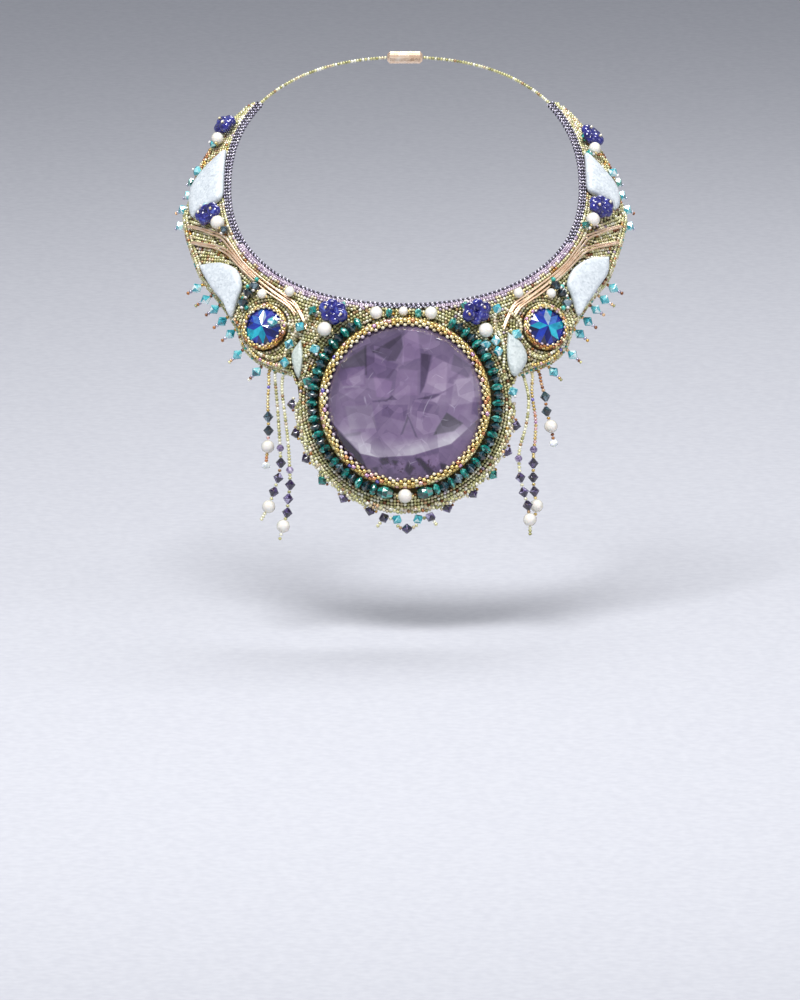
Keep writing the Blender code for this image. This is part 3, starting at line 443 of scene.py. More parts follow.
@dataclass(frozen=True)
class Suede:
    """Brushed microfibre on a stiff core: soft dark nap behind, dark olive painted gap shade in front."""

    name: str
    nap_mm: float = 0.25
    patch_mm: float = 6.0
    front_gap_shade: tuple[tuple[float, str], ...] = ((0.45, "#3a3320"), (0.75, "#544a2f"), (1.0, "#6e6340"))

    def dress(self) -> bpy.types.Material:
        """Return the nap, drawn a little coarser than real so that it shows."""
        material, tree, shader = start_material(
            self.name, Roughness=0.95, Sheen_Weight=0.5, Sheen_Roughness=0.5,
            Sheen_Tint=linear("#8c8494"))
        spot = add_node(tree, "TexCoord").outputs["Object"]
        nap = add_node(tree, "TexNoise", {"Vector": spot, "Scale": 1 / (self.nap_mm * MM), "Detail": 3.0})
        patch = add_node(tree, "TexNoise", {"Vector": spot,
                                            "Scale": 1 / (self.patch_mm * MM), "Detail": 4.0})
        both = add_node(tree, "Math", {0: nap, 1: 0.5, 2: patch}, operation="MULTIPLY_ADD")
        behind = add_node(tree, "ValToRGB", {0: both}, stops=(
            (0.45, "#17141a"), (0.75, "#2a262d"), (1.0, "#3f3a42")))
        ahead = add_node(tree, "ValToRGB", {0: both}, stops=self.front_gap_shade)
        # Faces that point up take the front colour, painted shade for the gaps between the seeds; faces that
        # point down take the nap.
        shape = add_node(tree, "NewGeometry")
        facing = add_node(tree, "SeparateXYZ", {0: shape.outputs["True Normal"]})
        front = add_node(tree, "MapRange", {0: facing.outputs[2], 1: 0.10, 2: 0.16})
        colour = add_node(tree, "Mix", {0: front, 6: behind, 7: ahead}, data_type="RGBA")
        bump = add_node(tree, "Bump", {"Strength": 0.5, "Distance": 0.1 * MM, "Height": nap})
        connect(tree, shader, {"Base Color": colour.outputs[2], "Normal": bump})
        return material


@dataclass(frozen=True)
class MattPaint:
    """Matt emulsion on the studio floor: pale, even, with the faint stipple of a roller."""

    name: str
    stipple_mm: float = 4.0

    def dress(self) -> bpy.types.Material:
        """Return the rolled paint."""
        material, tree, shader = start_material(self.name, Roughness=0.85)
        spot = add_node(tree, "TexCoord").outputs["Object"]
        roller = add_node(tree, "TexNoise", {"Vector": spot,
                                             "Scale": 1 / (self.stipple_mm * MM), "Detail": 2.0})
        colour = add_node(tree, "ValToRGB", {0: roller}, stops=((0.3, "#b9bac1"), (0.7, "#c1c2c8")))
        bump = add_node(tree, "Bump", {"Strength": 0.04, "Distance": 0.2 * MM, "Height": roller})
        connect(tree, shader, {"Base Color": colour, "Normal": bump})
        return material


def all_finishes() -> dict[Finish, bpy.types.Material]:
    """Dress every finish once.

    Returns:
        The material of each finish.
    """
    recipes = {
        Finish.OLIVE: SeedGlaze(Finish.OLIVE.value, (
            (0.0, "#a3a06a"), (0.14, "#c8c48c"), (0.38, "#e0dcab"), (0.60, "#f0edc8"), (0.80, "#fffdea"),
            (0.91, "#d6c4a4"), (0.96, "#b08c64")), metallic=0.35, worn="#9c986c"),
        Finish.CREAM: SeedGlaze(Finish.CREAM.value, (
            (0.0, "#d9cba4"), (0.4, "#f2e9cb"), (0.8, "#e6d5bf"), (0.92, "#c7ab86")), metallic=0.4),
        Finish.COPPER: SeedGlaze(Finish.COPPER.value, (
            (0.0, "#8c5635"), (0.35, "#b87a49"), (0.6, "#cfa24c"), (0.85, "#ebc194"))),
        Finish.LILAC: SeedGlaze(Finish.LILAC.value, (
            (0.0, "#b3a0b4"), (0.35, "#cfbfcd"), (0.7, "#e6d8e2"), (0.9, "#a08ba2")),
            metallic=0.30, worn="#8a7a90"),
        Finish.SILVER: SeedGlaze(Finish.SILVER.value, (
            (0.0, "#aca6bb"), (0.5, "#c9c4d4"), (0.85, "#e4e0ea")), metallic=0.6, worn="#7a7488"),
        Finish.NIGHT: SeedGlaze(Finish.NIGHT.value, (
            (0.0, "#211d2a"), (0.6, "#2f2a3a"), (0.9, "#4a4256")), metallic=0.5, worn="#14111a"),
        Finish.TURQUOISE: SeedGlaze(Finish.TURQUOISE.value, (
            (0.0, "#1d8f88"), (0.5, "#3fb5aa"), (0.85, "#67cdbf")), metallic=0.2, worn="#0f5c58"),
        Finish.WHITE: SeedGlaze(Finish.WHITE.value, (
            (0.0, "#e4dfdc"), (0.5, "#f1edea"), (0.9, "#d5c8cf")), metallic=0.1, worn="#b0a8a8"),
        Finish.GOLD: SeedGlaze(Finish.GOLD.value, (
            (0.0, "#d6b86c"), (0.22, "#ead492"), (0.50, "#fcefba"), (0.70, "#e2c27a"), (0.80, "#e09c6c"),
            (0.87, "#f2c4bf"), (0.94, "#dcabd2"), (0.985, "#857ad0")), metallic=0.7, roughness=0.24,
            worn="#a88c56"),
        # The cut glass shades rise to pale stops: the painted glints of the brightest facets.
        Finish.TEAL: CutGlass(Finish.TEAL.value, (
            (0.0, "#022426"), (0.3, "#04524c"), (0.55, "#078276"), (0.8, "#14a096"), (1.0, "#84d8cc"))),
        Finish.AQUA: CutGlass(Finish.AQUA.value, (
            (0.0, "#0c5566"), (0.22, "#2598aa"), (0.45, "#54c4d1"), (0.7, "#9be6eb"), (0.9, "#f4ffff"))),
        Finish.MONTANA: CutGlass(Finish.MONTANA.value, (
            (0.0, "#040a12"), (0.35, "#0a1c28"), (0.6, "#12343e"), (0.8, "#2c4f5c"), (1.0, "#8ba3b0"))),
        Finish.PLUM: CutGlass(Finish.PLUM.value, (
            (0.0, "#0a0614"), (0.4, "#1b1030"), (0.68, "#33214f"), (0.86, "#5f4d86"), (1.0, "#c6bede"))),
        Finish.MAUVE: CutGlass(Finish.MAUVE.value, (
            (0.0, "#54456a"), (0.4, "#7d6c94"), (0.7, "#a595b8"), (1.0, "#e3dbee"))),
        Finish.MOON: PressedGlass(Finish.MOON.value, (
            (0.0, "#bcc4c4"), (0.5, "#dbe0df"), (1.0, "#f3f6f5")), glow=0.4),
        Finish.LAPIS: PressedGlass(Finish.LAPIS.value, (
            (0.0, "#0e0b48"), (0.4, "#1d1b70"), (0.75, "#2e2f8e"), (1.0, "#5464b0"))),
        Finish.NACRE: Nacre(Finish.NACRE.value),
        Finish.AMETHYST: PolishedAmethyst(Finish.AMETHYST.value),
        Finish.RIVOLI: FoiledGlass(Finish.RIVOLI.value),
        Finish.HOWLITE: TumbledStone(Finish.HOWLITE.value),
        Finish.WIRE: PlatedWire(Finish.WIRE.value),
        Finish.SUEDE: Suede(Finish.SUEDE.value),
        Finish.FLOOR: MattPaint(Finish.FLOOR.value),
    }
    return {finish: recipe.dress() for finish, recipe in recipes.items()}


# The collar's outline: (turn in degrees, width as a share of the wing's width)
COLLAR_OUTLINE = (
    (127.0, 0.16), (124.0, 0.30), (119.0, 0.38), (113.0, 0.46), (106.0, 0.62), (101.0, 0.73),
    (96.0, 0.78), (92.0, 0.84), (87.0, 1.00), (82.0, 0.97), (76.0, 0.95), (70.0, 0.96), (64.0, 1.00),
    (58.0, 0.98), (53.0, 1.01), (49.0, 1.07), (45.0, 1.16), (41.0, 1.37), (38.0, 1.46), (34.5, 1.51),
    (30.0, 1.51), (26.0, 1.52), (24.0, 1.72),
)


@dataclass(frozen=True)
class Collar:
    """Shape that everything lies on: the neck line, the flare outside it and the flat of the bib."""

    half_width: float = 74.6 * MM
    front_depth: float = 72.4 * MM
    back_depth: float = 80.0 * MM
    squareness: float = 2.25
    rise: float = 35.0
    flare: float = 37.0
    wing_width: float = 23.5 * MM
    strap_turn: float = 127.0
    wing_turn: float = 99.0
    bib_turn: float = 45.5
    clearance: float = 0.3 * MM
    backing: float = 1.6 * MM
    field_thickness: float = 1.1 * MM
    edge: float = 1.9 * MM
    bib_radius: float = 45.6 * MM
    bib_centre_out: float = 40.7 * MM
    shoulder_turn: float = 22.5
    shoulder_angle: float = 88.0
    blend: float = 18.0 * MM
    stone_radius: float = 32.8 * MM
    bezel_wall: float = 3.0 * MM
    halo_width: float = 4.8 * MM

    @property
    def bed(self) -> float:
        """Return the lift on which stones and pearls sit."""
        return self.backing + self.field_thickness + 2 * self.clearance

    @property
    def seat(self) -> float:
        """Return the lift of the underside of what is sewn on the bed."""
        return self.bed + self.clearance

    @property
    def setting_radius(self) -> float:
        """Return the outer radius of the amethyst's setting."""
        return self.stone_radius + self.clearance + self.bezel_wall

    @property
    def halo_radius(self) -> float:
        """Return the radius of the ring of crystals round the setting."""
        return self.setting_radius + self.clearance + self.halo_width / 2

    @property
    def flat_radius(self) -> float:
        """Return the radius up to which the bib is flat."""
        return self.halo_radius + self.halo_width / 2

    def neck_frame(self, turn: float) -> tuple[Vector, Vector, Vector]:
        """Find the neck line at a turn.

        Args:
            turn: Turn from the front, in degrees.

        Returns:
            The point of the neck line, and the collar's outward and square directions there.
        """
        up = math.radians(self.rise)
        back_way = Vector((0.0, math.cos(up), math.sin(up)))
        square_way = Vector((0.0, -math.sin(up), math.cos(up)))
        angle = math.radians(turn)
        depth = self.front_depth if math.cos(angle) > 0 else self.back_depth
        power = 2 / self.squareness
        across = self.half_width * math.copysign(abs(math.sin(angle)) ** power, math.sin(angle))
        back = -depth * math.copysign(abs(math.cos(angle)) ** power, math.cos(angle))
        slope = self.squareness - 1
        level = RIGHT * math.copysign(abs(across / self.half_width) ** slope / self.half_width, across)
        level += back_way * math.copysign(abs(back / depth) ** slope / depth, back)
        level.normalize()
        flare = math.radians(self.flare)
        outward = level * math.cos(flare) - square_way * math.sin(flare)
        normal = level * math.sin(flare) + square_way * math.cos(flare)
        return RIGHT * across + back_way * back, outward, normal

    @cached_property
    def bib(self) -> tuple[Vector, Vector, Vector]:
        """Return the bib's centre, its way down and its way out of the plane."""
        origin, down, normal = self.neck_frame(0.0)
        return origin + down * self.bib_centre_out, down, normal

    def settle(self, point: Vector, normal: Vector, lift: float) -> tuple[Vector, Vector]:
        """Press a collar point on to the flat of the bib, fading out beyond it, then lift it.

        Args:
            point: Point on the flared collar.
            normal: The collar's square direction there.
            lift: Distance off the underside.

        Returns:
            The settled point and its square direction.
        """
        centre, _, flat = self.bib
        offset = point - centre
        height = offset.dot(flat)
        reach = (offset - flat * height).length
        share = min(1.0, max(0.0, (reach - self.flat_radius) / self.blend))
        share = share * share * (3 - 2 * share)
        normal = flat.lerp(normal, share).normalized()
        return point - flat * height * (1 - share) + normal * lift, normal

    def place(self, turn: float, out: float, lift: float) -> tuple[Vector, Vector]:
        """Return the place and the square direction at a turn, a distance out and a lift."""
        start, outward, normal = self.neck_frame(turn)
        return self.settle(start + outward * out, normal, lift)

    def wing_place(self, turn: float, share: float, lift: float) -> tuple[Vector, Vector]:
        """Return the place and normal at a turn and a share of the wing's width."""
        return self.place(turn, share * self.wing_width, lift)

    def bib_place(self, angle: float, radius: float, lift: float) -> Vector:
        """Return a place on the bib by its angle from straight down, radius and lift."""
        centre, down, flat = self.bib
        swing = math.radians(angle)
        return centre + (RIGHT * math.sin(swing) + down * math.cos(swing)) * radius + flat * lift

    def width(self, turn: float) -> float:
        """Return the collar's width at a turn, read between the rows of its outline."""
        rows = COLLAR_OUTLINE
        turns = [row[0] for row in rows[::-1]]
        widths = [row[1] for row in rows[::-1]]
        return self.wing_width * float(np.interp(abs(turn), turns, widths))

    def rim(self, turn: float, beyond: float, lift: float) -> tuple[Vector, Vector]:
        """Return the place of the wing's edging at a turn, moved outwards by a distance."""
        return self.place(turn, self.width(turn) - self.edge / 2 + self.clearance + beyond, lift)

    @cached_property
    def lattice(self) -> tuple[KDTree, list[tuple[float, float]]]:
        """Return a search tree of the underside and the turn and out of each of its points."""
        rows = [(turn / 2, out * MM / 2) for turn in range(-260, 261) for out in range(-4, 80)]
        tree = KDTree(len(rows))
        for index, (turn, out) in enumerate(rows):
            tree.insert(self.place(turn, out, 0.0)[0], index)
        tree.balance()
        return tree, rows

    def locate(self, point: Vector) -> tuple[float, float]:
        """Return the turn and the distance out of the collar's nearest place to a point."""
        tree, rows = self.lattice
        return rows[tree.find(point)[1]]


COLLAR = Collar()


def ring_faces(rings: int, sides: int, first: int = 0, capped: bool = False) -> list[tuple[int, ...]]:
    """Join rings of points that follow each other.

    Args:
        rings: Number of rings.
        sides: Points in each ring.
        first: Number of the first ring's first point.
        capped: Whether a flat face closes each end.

    Returns:
        The faces.
    """
    faces = []
    for ring in range(rings - 1):
        for side in range(sides):
            near, follow = (first + ring * sides + step % sides for step in (side, side + 1))
            faces.append((near, follow, follow + sides, near + sides))
    if capped:
        faces.append(tuple(range(first, first + sides))[::-1])
        faces.append(tuple(range(first + (rings - 1) * sides, first + rings * sides)))
    return faces


def lathe(profile: tuple[tuple[float, float], ...], sides: int, capped: bool = False) -> tuple[list, list]:
    """Turn a profile about the thread hole.

    Args:
        profile: Rows of (place along the hole, radius).
        sides: Number of sides.
        capped: Whether a flat face closes each end.

    Returns:
        The points and the faces.
    """
    points = []
    for along, radius in profile:
        for side in range(sides):
            swing = 2 * math.pi * side / sides
            points.append((along, radius * math.cos(swing), radius * math.sin(swing)))
    return points, ring_faces(len(profile), sides, 0, capped)


def cut_crystal(ends: float, girdle: float, facets: int) -> tuple[list, list]:
    """Cut a bead with facets from each flat end to an offset girdle.

    Args:
        ends: Radius of the flat ends, for a bead of radius 0.5.
        girdle: Half the distance between the girdle's two rings.
        facets: Facets round each end.

    Returns:
        The points and the faces.
    """
    points, faces = [], []
    rings = ((-0.5, ends, 0.0), (-girdle, 0.5, 0.0), (girdle, 0.5, 0.5), (0.5, ends, 0.5))
    for along, radius, shift in rings:
        for side in range(facets):
            swing = 2 * math.pi * (side + shift) / facets
            points.append((along, radius * math.cos(swing), radius * math.sin(swing)))
    for side in range(facets):
        follow = (side + 1) % facets
        faces.append((side, follow, facets + follow, facets + side))
        faces.append((facets + side, facets + follow, 2 * facets + side))
        faces.append((facets + follow, 2 * facets + follow, 2 * facets + side))
        faces.append((2 * facets + side, 2 * facets + follow, 3 * facets + follow, 3 * facets + side))
    faces.append(tuple(range(facets))[::-1])
    faces.append(tuple(range(3 * facets, 4 * facets)))
    return points, faces


def ball(sides: int, rings: int, flat: float) -> tuple[list, list]:
    """Turn a ball about its thread hole, flattened by a share, with closed ends."""
    arc = [math.pi * step / rings for step in range(rings + 1)]
    profile = tuple((-math.cos(turn) / 2, max(0.02, math.sin(turn) / 2)) for turn in arc)
    points, faces = lathe(profile, sides, True)
    return [(x, y, z * flat) for x, y, z in points], faces


def flower(sides: int, rings: int, flat: float, lobes: int, depth: float) -> tuple[list, list]:
    """Turn a flattened ball whose rim swells into lobes, like a pressed glass flower.

    Args:
        sides: Number of sides of the ball.
        rings: Number of its rings.
        flat: Thickness as a share of the width.
        lobes: Number of lobes.
        depth: How far a lobe swells, as a share of the radius.

    Returns:
        The points and the faces.
    """
    points, faces = ball(sides, rings, flat)
    shaped = []
    for x, y, z in points:
        swell = 1 - depth + depth * math.cos(lobes * math.atan2(y, x))
        hollow = 1 - 0.35 * math.exp(-((math.hypot(x, y) / 0.16) ** 2))
        shaped.append((x * swell, y * swell, z * hollow))
    return shaped, faces


@dataclass(frozen=True)
class Template:
    """One bead of length and width 1, ready to be stamped many times."""

    points: np.ndarray
    faces: tuple[tuple[int, ...], ...]
    facet: np.ndarray
    smooth: bool

    @staticmethod
    def of(shape: tuple[list, list], smooth: bool) -> "Template":
        """Prepare a shape for stamping.

        Args:
            shape: Points and faces.
            smooth: Whether its faces are shaded smooth; if not, each facet gets its own points.

        Returns:
            The template.
        """
        points, faces = shape
        if smooth:
            return Template(np.array(points, float), tuple(faces), np.zeros(len(points), int), True)
        split, corners, facet = [], [], []
        for index, face in enumerate(faces):
            corners.append(tuple(range(len(split), len(split) + len(face))))
            split += [points[corner] for corner in face]
            facet += [index] * len(face)
        return Template(np.array(split, float), tuple(corners), np.array(facet, int), False)


SEED_PROFILE = ((-0.5, 0.13), (-0.38, 0.37), (-0.13, 0.495), (0.13, 0.495), (0.38, 0.37), (0.5, 0.13))
CYLINDER_PROFILE = ((-0.5, 0.26), (-0.5, 0.42), (-0.43, 0.5), (0.43, 0.5), (0.5, 0.42), (0.5, 0.26))

TEMPLATES = {
    Bead.SEED: Template.of(lathe(SEED_PROFILE, 8), True),
    Bead.CYLINDER: Template.of(lathe(CYLINDER_PROFILE, 8), True),
    Bead.BICONE: Template.of(cut_crystal(0.13, 0.05, 8), False),
    Bead.RONDELLE: Template.of(cut_crystal(0.30, 0.16, 10), False),
    Bead.ROUND: Template.of(ball(24, 14, 1.0), True),
    Bead.PETAL: Template.of(flower(30, 18, 0.8, 2, 0.03), True),
    Bead.COIN: Template.of(ball(20, 10, 0.42), True),
}


def finish_piece(piece: bpy.types.Object, nodes: tuple[str, ...]) -> None:
    """Seat a piece on the frame in place of its solids.

    Args:
        piece: Object already linked to the scene.
        nodes: Names of the solids that it stands for, or none.
    """
    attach(piece, "root")
    if nodes:
        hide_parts(*nodes)
    log.info("piece %s: %d faces", piece.name, len(piece.data.polygons))


def mesh_object(name: str, points: np.ndarray, faces: list, smooth: bool) -> bpy.types.Object:
    """Make and link a mesh object from points and faces."""
    mesh = bpy.data.meshes.new(name)
    mesh.from_pydata([tuple(point) for point in points], [], [tuple(face) for face in faces])
    mesh.polygons.foreach_set("use_smooth", [smooth] * len(mesh.polygons))
    made = bpy.data.objects.new(name, mesh)
    bpy.context.scene.collection.objects.link(made)
    return made


def paint(mesh: bpy.types.Mesh, name: str, values: np.ndarray) -> None:
    """Store one number at each point of a mesh."""
    layer = mesh.attributes.new(name, "FLOAT", "POINT")
    layer.data.foreach_set("value", values.astype(np.float32))


@dataclass
class Beadwork:
    """Beads of one piece, gathered one by one and then joined into one mesh."""

    name: str
    seed: int = 1
    stamps: dict = field(default_factory=dict)

    def __post_init__(self) -> None:
        """Start the piece's own run of chances."""
        self.chance = np.random.RandomState(self.seed)

    def add(self, bead: Bead, finish: Finish, centre: Vector, along: Vector, up: Vector,
            length: float, width: float, tone: float | None = None) -> None:
        """Add one bead.

        Args:
            bead: Shape of the bead.
            finish: Finish of the bead.
            centre: Middle of the bead.
            along: Direction of its thread hole.
            up: Direction that stands off the work.
            length: Length along the hole.
            width: Width across the hole.
            tone: Shade in the mix, from 0 to 1, or none for chance.
        """
        along = Vector(along).normalized()
        up = Vector(up) - along * along.dot(Vector(up))
        up.normalize()
        side = up.cross(along)
        tone = self.chance.rand() if tone is None else tone
        row = (tuple(centre), tuple(along), tuple(side), tuple(up), length, width, tone)
        self.stamps.setdefault((bead, finish), []).append(row)

    def join(self, finishes: dict[Finish, bpy.types.Material]) -> bpy.types.Object:
        """Stamp every bead into one mesh.

        Args:
            finishes: Material of each finish.

        Returns:
            The joined object, linked to the scene.
        """
        points, corners, starts, smooth, slots, tones = [], [], [], [], [], []
        used = []
        point_count = corner_count = 0
        for (bead, finish), rows in self.stamps.items():
            if finish not in used:
                used.append(finish)
            template = TEMPLATES[bead]
            count, size = len(rows), len(template.points)
            turned = np.array([[row[1], row[2], row[3]] for row in rows])
            scale = np.array([[row[4], row[5], row[5]] for row in rows])
            local = template.points[None] * scale[:, None, :]
            spots = np.einsum("mnk,mkj->mnj", local, turned) + np.array([row[0] for row in rows])[:, None, :]
            points.append(spots.reshape(-1, 3))
            tone = np.repeat(np.array([row[6] for row in rows])[:, None], size, axis=1)
            # Each facet of a cut bead gets a random brightness, which paints the reflections and glints
            # inside the glass.
            if not template.smooth:
                facets = self.chance.rand(count, template.facet.max() + 1)
                tone = np.clip(tone * 0.35 + facets[:, template.facet] ** 1.4 * 0.8, 0.0, 1.0)
            tones.append(tone.ravel())
            loop = np.array([corner for face in template.faces for corner in face])
            first = np.cumsum([0] + [len(face) for face in template.faces[:-1]])
            shift = np.arange(count)[:, None]
            corners.append((loop[None] + shift * size + point_count).ravel())
            starts.append((first[None] + shift * len(loop) + corner_count).ravel())
            faces = count * len(template.faces)
            smooth += [template.smooth] * faces
            slots += [used.index(finish)] * faces
            point_count += count * size
            corner_count += count * len(loop)
        mesh = bpy.data.meshes.new(self.name)
        mesh.vertices.add(point_count)
        mesh.vertices.foreach_set("co", np.concatenate(points).ravel())
        mesh.loops.add(corner_count)
        mesh.loops.foreach_set("vertex_index", np.concatenate(corners).astype(np.int32))
        mesh.polygons.add(len(smooth))
        mesh.polygons.foreach_set("loop_start", np.concatenate(starts).astype(np.int32))
        mesh.polygons.foreach_set("use_smooth", smooth)
        for finish in used:
            mesh.materials.append(finishes[finish])
        mesh.polygons.foreach_set("material_index", np.array(slots, np.int32))
        mesh.update(calc_edges=True)
        paint(mesh, "tone", np.concatenate(tones))
        made = bpy.data.objects.new(self.name, mesh)
        bpy.context.scene.collection.objects.link(made)
        return made


@dataclass
class Piece:
    """Part of the necklace that is dressed in the shared finishes."""

    finishes: dict[Finish, bpy.types.Material]

    def sew_on(self, work: Beadwork, slot: str, *nodes: str) -> None:
        """Join the beads of a piece and seat it in place of its solids, if it stands for any."""
        finish_piece(work.join(self.finishes), nodes)


def lengths_along(points: list | np.ndarray) -> np.ndarray:
    """Return how far along a route each of its points lies."""
    steps = np.linalg.norm(np.diff(np.array([tuple(point) for point in points]), axis=0), axis=1)
    return np.concatenate([[0.0], np.cumsum(steps)])


def walk(route: list[Vector], pitch: float, closed: bool = False) -> list[tuple[Vector, Vector]]:
    """Walk along a route in even steps.

    Args:
        route: Points of the route.
        pitch: Wanted distance between steps.
        closed: Whether the route is a ring, whose first point is also its last.

    Returns:
        The middle of each step and the direction there.
    """
    points = np.array([tuple(point) for point in route])
    lengths = lengths_along(points)
    total = lengths[-1]
    count = int(round(total / pitch)) if closed else int(total / pitch + 0.35)
    if count < 1:
        return []
    step = total / count
    middles = (np.arange(count) + 0.5) * step

    def at(places: np.ndarray) -> np.ndarray:
        """Return the points at these lengths along the route."""
        return np.stack([np.interp(places, lengths, points[:, axis]) for axis in range(3)], axis=1)

    centres = at(middles)
    ways = at(np.minimum(middles + step * 0.4, total)) - at(np.maximum(middles - step * 0.4, 0.0))
    return [(Vector(centre), Vector(way).normalized()) for centre, way in zip(centres, ways)]


def smooth_route(points: list[Vector], steps: int) -> list[Vector]:
    """Curve a route smoothly through its points.

    Args:
        points: Points to pass through.
        steps: Steps between two points.

    Returns:
        The denser route.
    """
    route = []
    for index in range(len(points) - 1):
        before = points[max(index - 1, 0)]
        start, end = points[index], points[index + 1]
        after = points[min(index + 2, len(points) - 1)]
        for step in range(steps):
            share = step / steps
            straight = start.lerp(end, share * share * (3 - 2 * share))
            leaving = (end - before) / 2 * share * (1 - share) ** 2
            arriving = (after - start) / 2 * share * share * (1 - share)
            route.append(straight + leaving - arriving)
    return route + [points[-1]]


@dataclass(frozen=True)
class Charm:
    """One larger bead on a thread: its shape, finish, length and width."""

    bead: Bead
    finish: Finish
    length: float
    width: float


@dataclass
class Thread:
    """A thread with larger beads at their places and seeds between them."""

    seed_finish: Finish
    seed_length: float = 1.34 * MM
    seed_width: float = 1.55 * MM

    def string(self, work: Beadwork, stops: list[tuple[Vector, Charm | None]], up: Vector) -> None:
        """String the beads along the stops.

        Args:
            work: Beadwork that takes the beads.
            stops: Rows of (place, larger bead there or none).
            up: Direction that faces the viewer of the strand.
        """
        places = [place for place, _ in stops]
        marks = [index for index, (_, charm) in enumerate(stops) if charm or index in (0, len(stops) - 1)]
        for index in marks:
            charm = stops[index][1]
            if charm:
                ahead = places[min(index + 1, len(places) - 1)]
                behind = places[max(index - 1, 0)]
                work.add(charm.bead, charm.finish, places[index], ahead - behind, up, charm.length,
                         charm.width)
        for first, last in zip(marks, marks[1:]):
            run = smooth_route(places[first:last + 1], 8)
            steps = [(after - before).length for before, after in zip(run, run[1:])]
            lengths = np.concatenate([[0.0], np.cumsum(steps)])
            start = stops[first][1].length / 2 if stops[first][1] else 0.0
            end = lengths[-1] - (stops[last][1].length / 2 if stops[last][1] else 0.0)
            if end - start < self.seed_length * 0.6:
                continue
            flat = np.array([tuple(point) for point in run])
            marks_at = np.linspace(start, end, 24)
            trimmed = [Vector([float(np.interp(mark, lengths, flat[:, axis])) for axis in range(3)])
                       for mark in marks_at]
            for centre, way in walk(trimmed, self.seed_length):
                work.add(Bead.SEED, self.seed_finish, centre, way, up, self.seed_length * 0.98,
                         self.seed_width)


BICONE = 4.4 * MM
TEAL, AQUA, MONTANA, PLUM = (Charm(Bead.BICONE, finish, 4.2 * MM, BICONE)
                             for finish in (Finish.TEAL, Finish.AQUA, Finish.MONTANA, Finish.PLUM))


# Cabochons of white stone: greenness, then rows of (turn in degrees, out as a share of the wing's width)
WHITE_STONES = {
    "white_stone_upper_left": (0.0, (
        (-101.8, 0.00), (-93.0, -0.03), (-85.5, 0.01), (-84.3, 0.28), (-84.8, 0.52), (-84.0, 0.68),
        (-88.5, 0.73), (-93.5, 0.68), (-98.0, 0.40))),
    "white_stone_upper_right": (0.0, (
        (101.0, 0.00), (93.0, -0.03), (87.9, 0.01), (87.4, 0.26), (87.8, 0.50), (86.3, 0.62), (88.8, 0.70),
        (93.2, 0.64), (97.0, 0.36))),
    "white_stone_middle_left": (0.0, (
        (-67.1, 0.83), (-62.5, 0.48), (-56.2, 0.33), (-51.0, 0.46), (-48.9, 0.72), (-47.4, 1.03),
        (-51.4, 0.93), (-59.0, 0.88))),
    "white_stone_middle_right": (0.0, (
        (69.0, 0.72), (64.0, 0.44), (57.0, 0.32), (51.2, 0.42), (49.3, 0.68), (47.4, 1.00), (51.0, 0.95),
        (58.0, 0.88), (64.5, 0.85))),
    "white_stone_lower_left": (0.9, (
        (-26.4, 0.86), (-24.9, 1.08), (-24.1, 1.34), (-24.0, 1.54), (-25.6, 1.42), (-27.4, 1.14))),
    "white_stone_lower_right": (0.45, (
        (26.7, 0.72), (29.0, 0.96), (29.2, 1.24), (27.4, 1.42), (24.8, 1.52), (24.2, 1.34), (24.9, 1.05))),
}

RIVOLI_TURN = 37.2
RIVOLI_OUT = 20.5 * MM
RIVOLI_RADIUS = 8.0 * MM
RIVOLI_WALL = 1.6 * MM


def inside(point: tuple[float, float], corners: list[tuple[float, float]]) -> bool:
    """Tell whether a point of the plane lies inside a closed outline."""
    x, y = point
    held = False
    for (ax, ay), (bx, by) in zip(corners, corners[1:] + corners[:1]):
        if (ay > y) != (by > y) and x < (bx - ax) * (y - ay) / (by - ay) + ax:
            held = not held
    return held


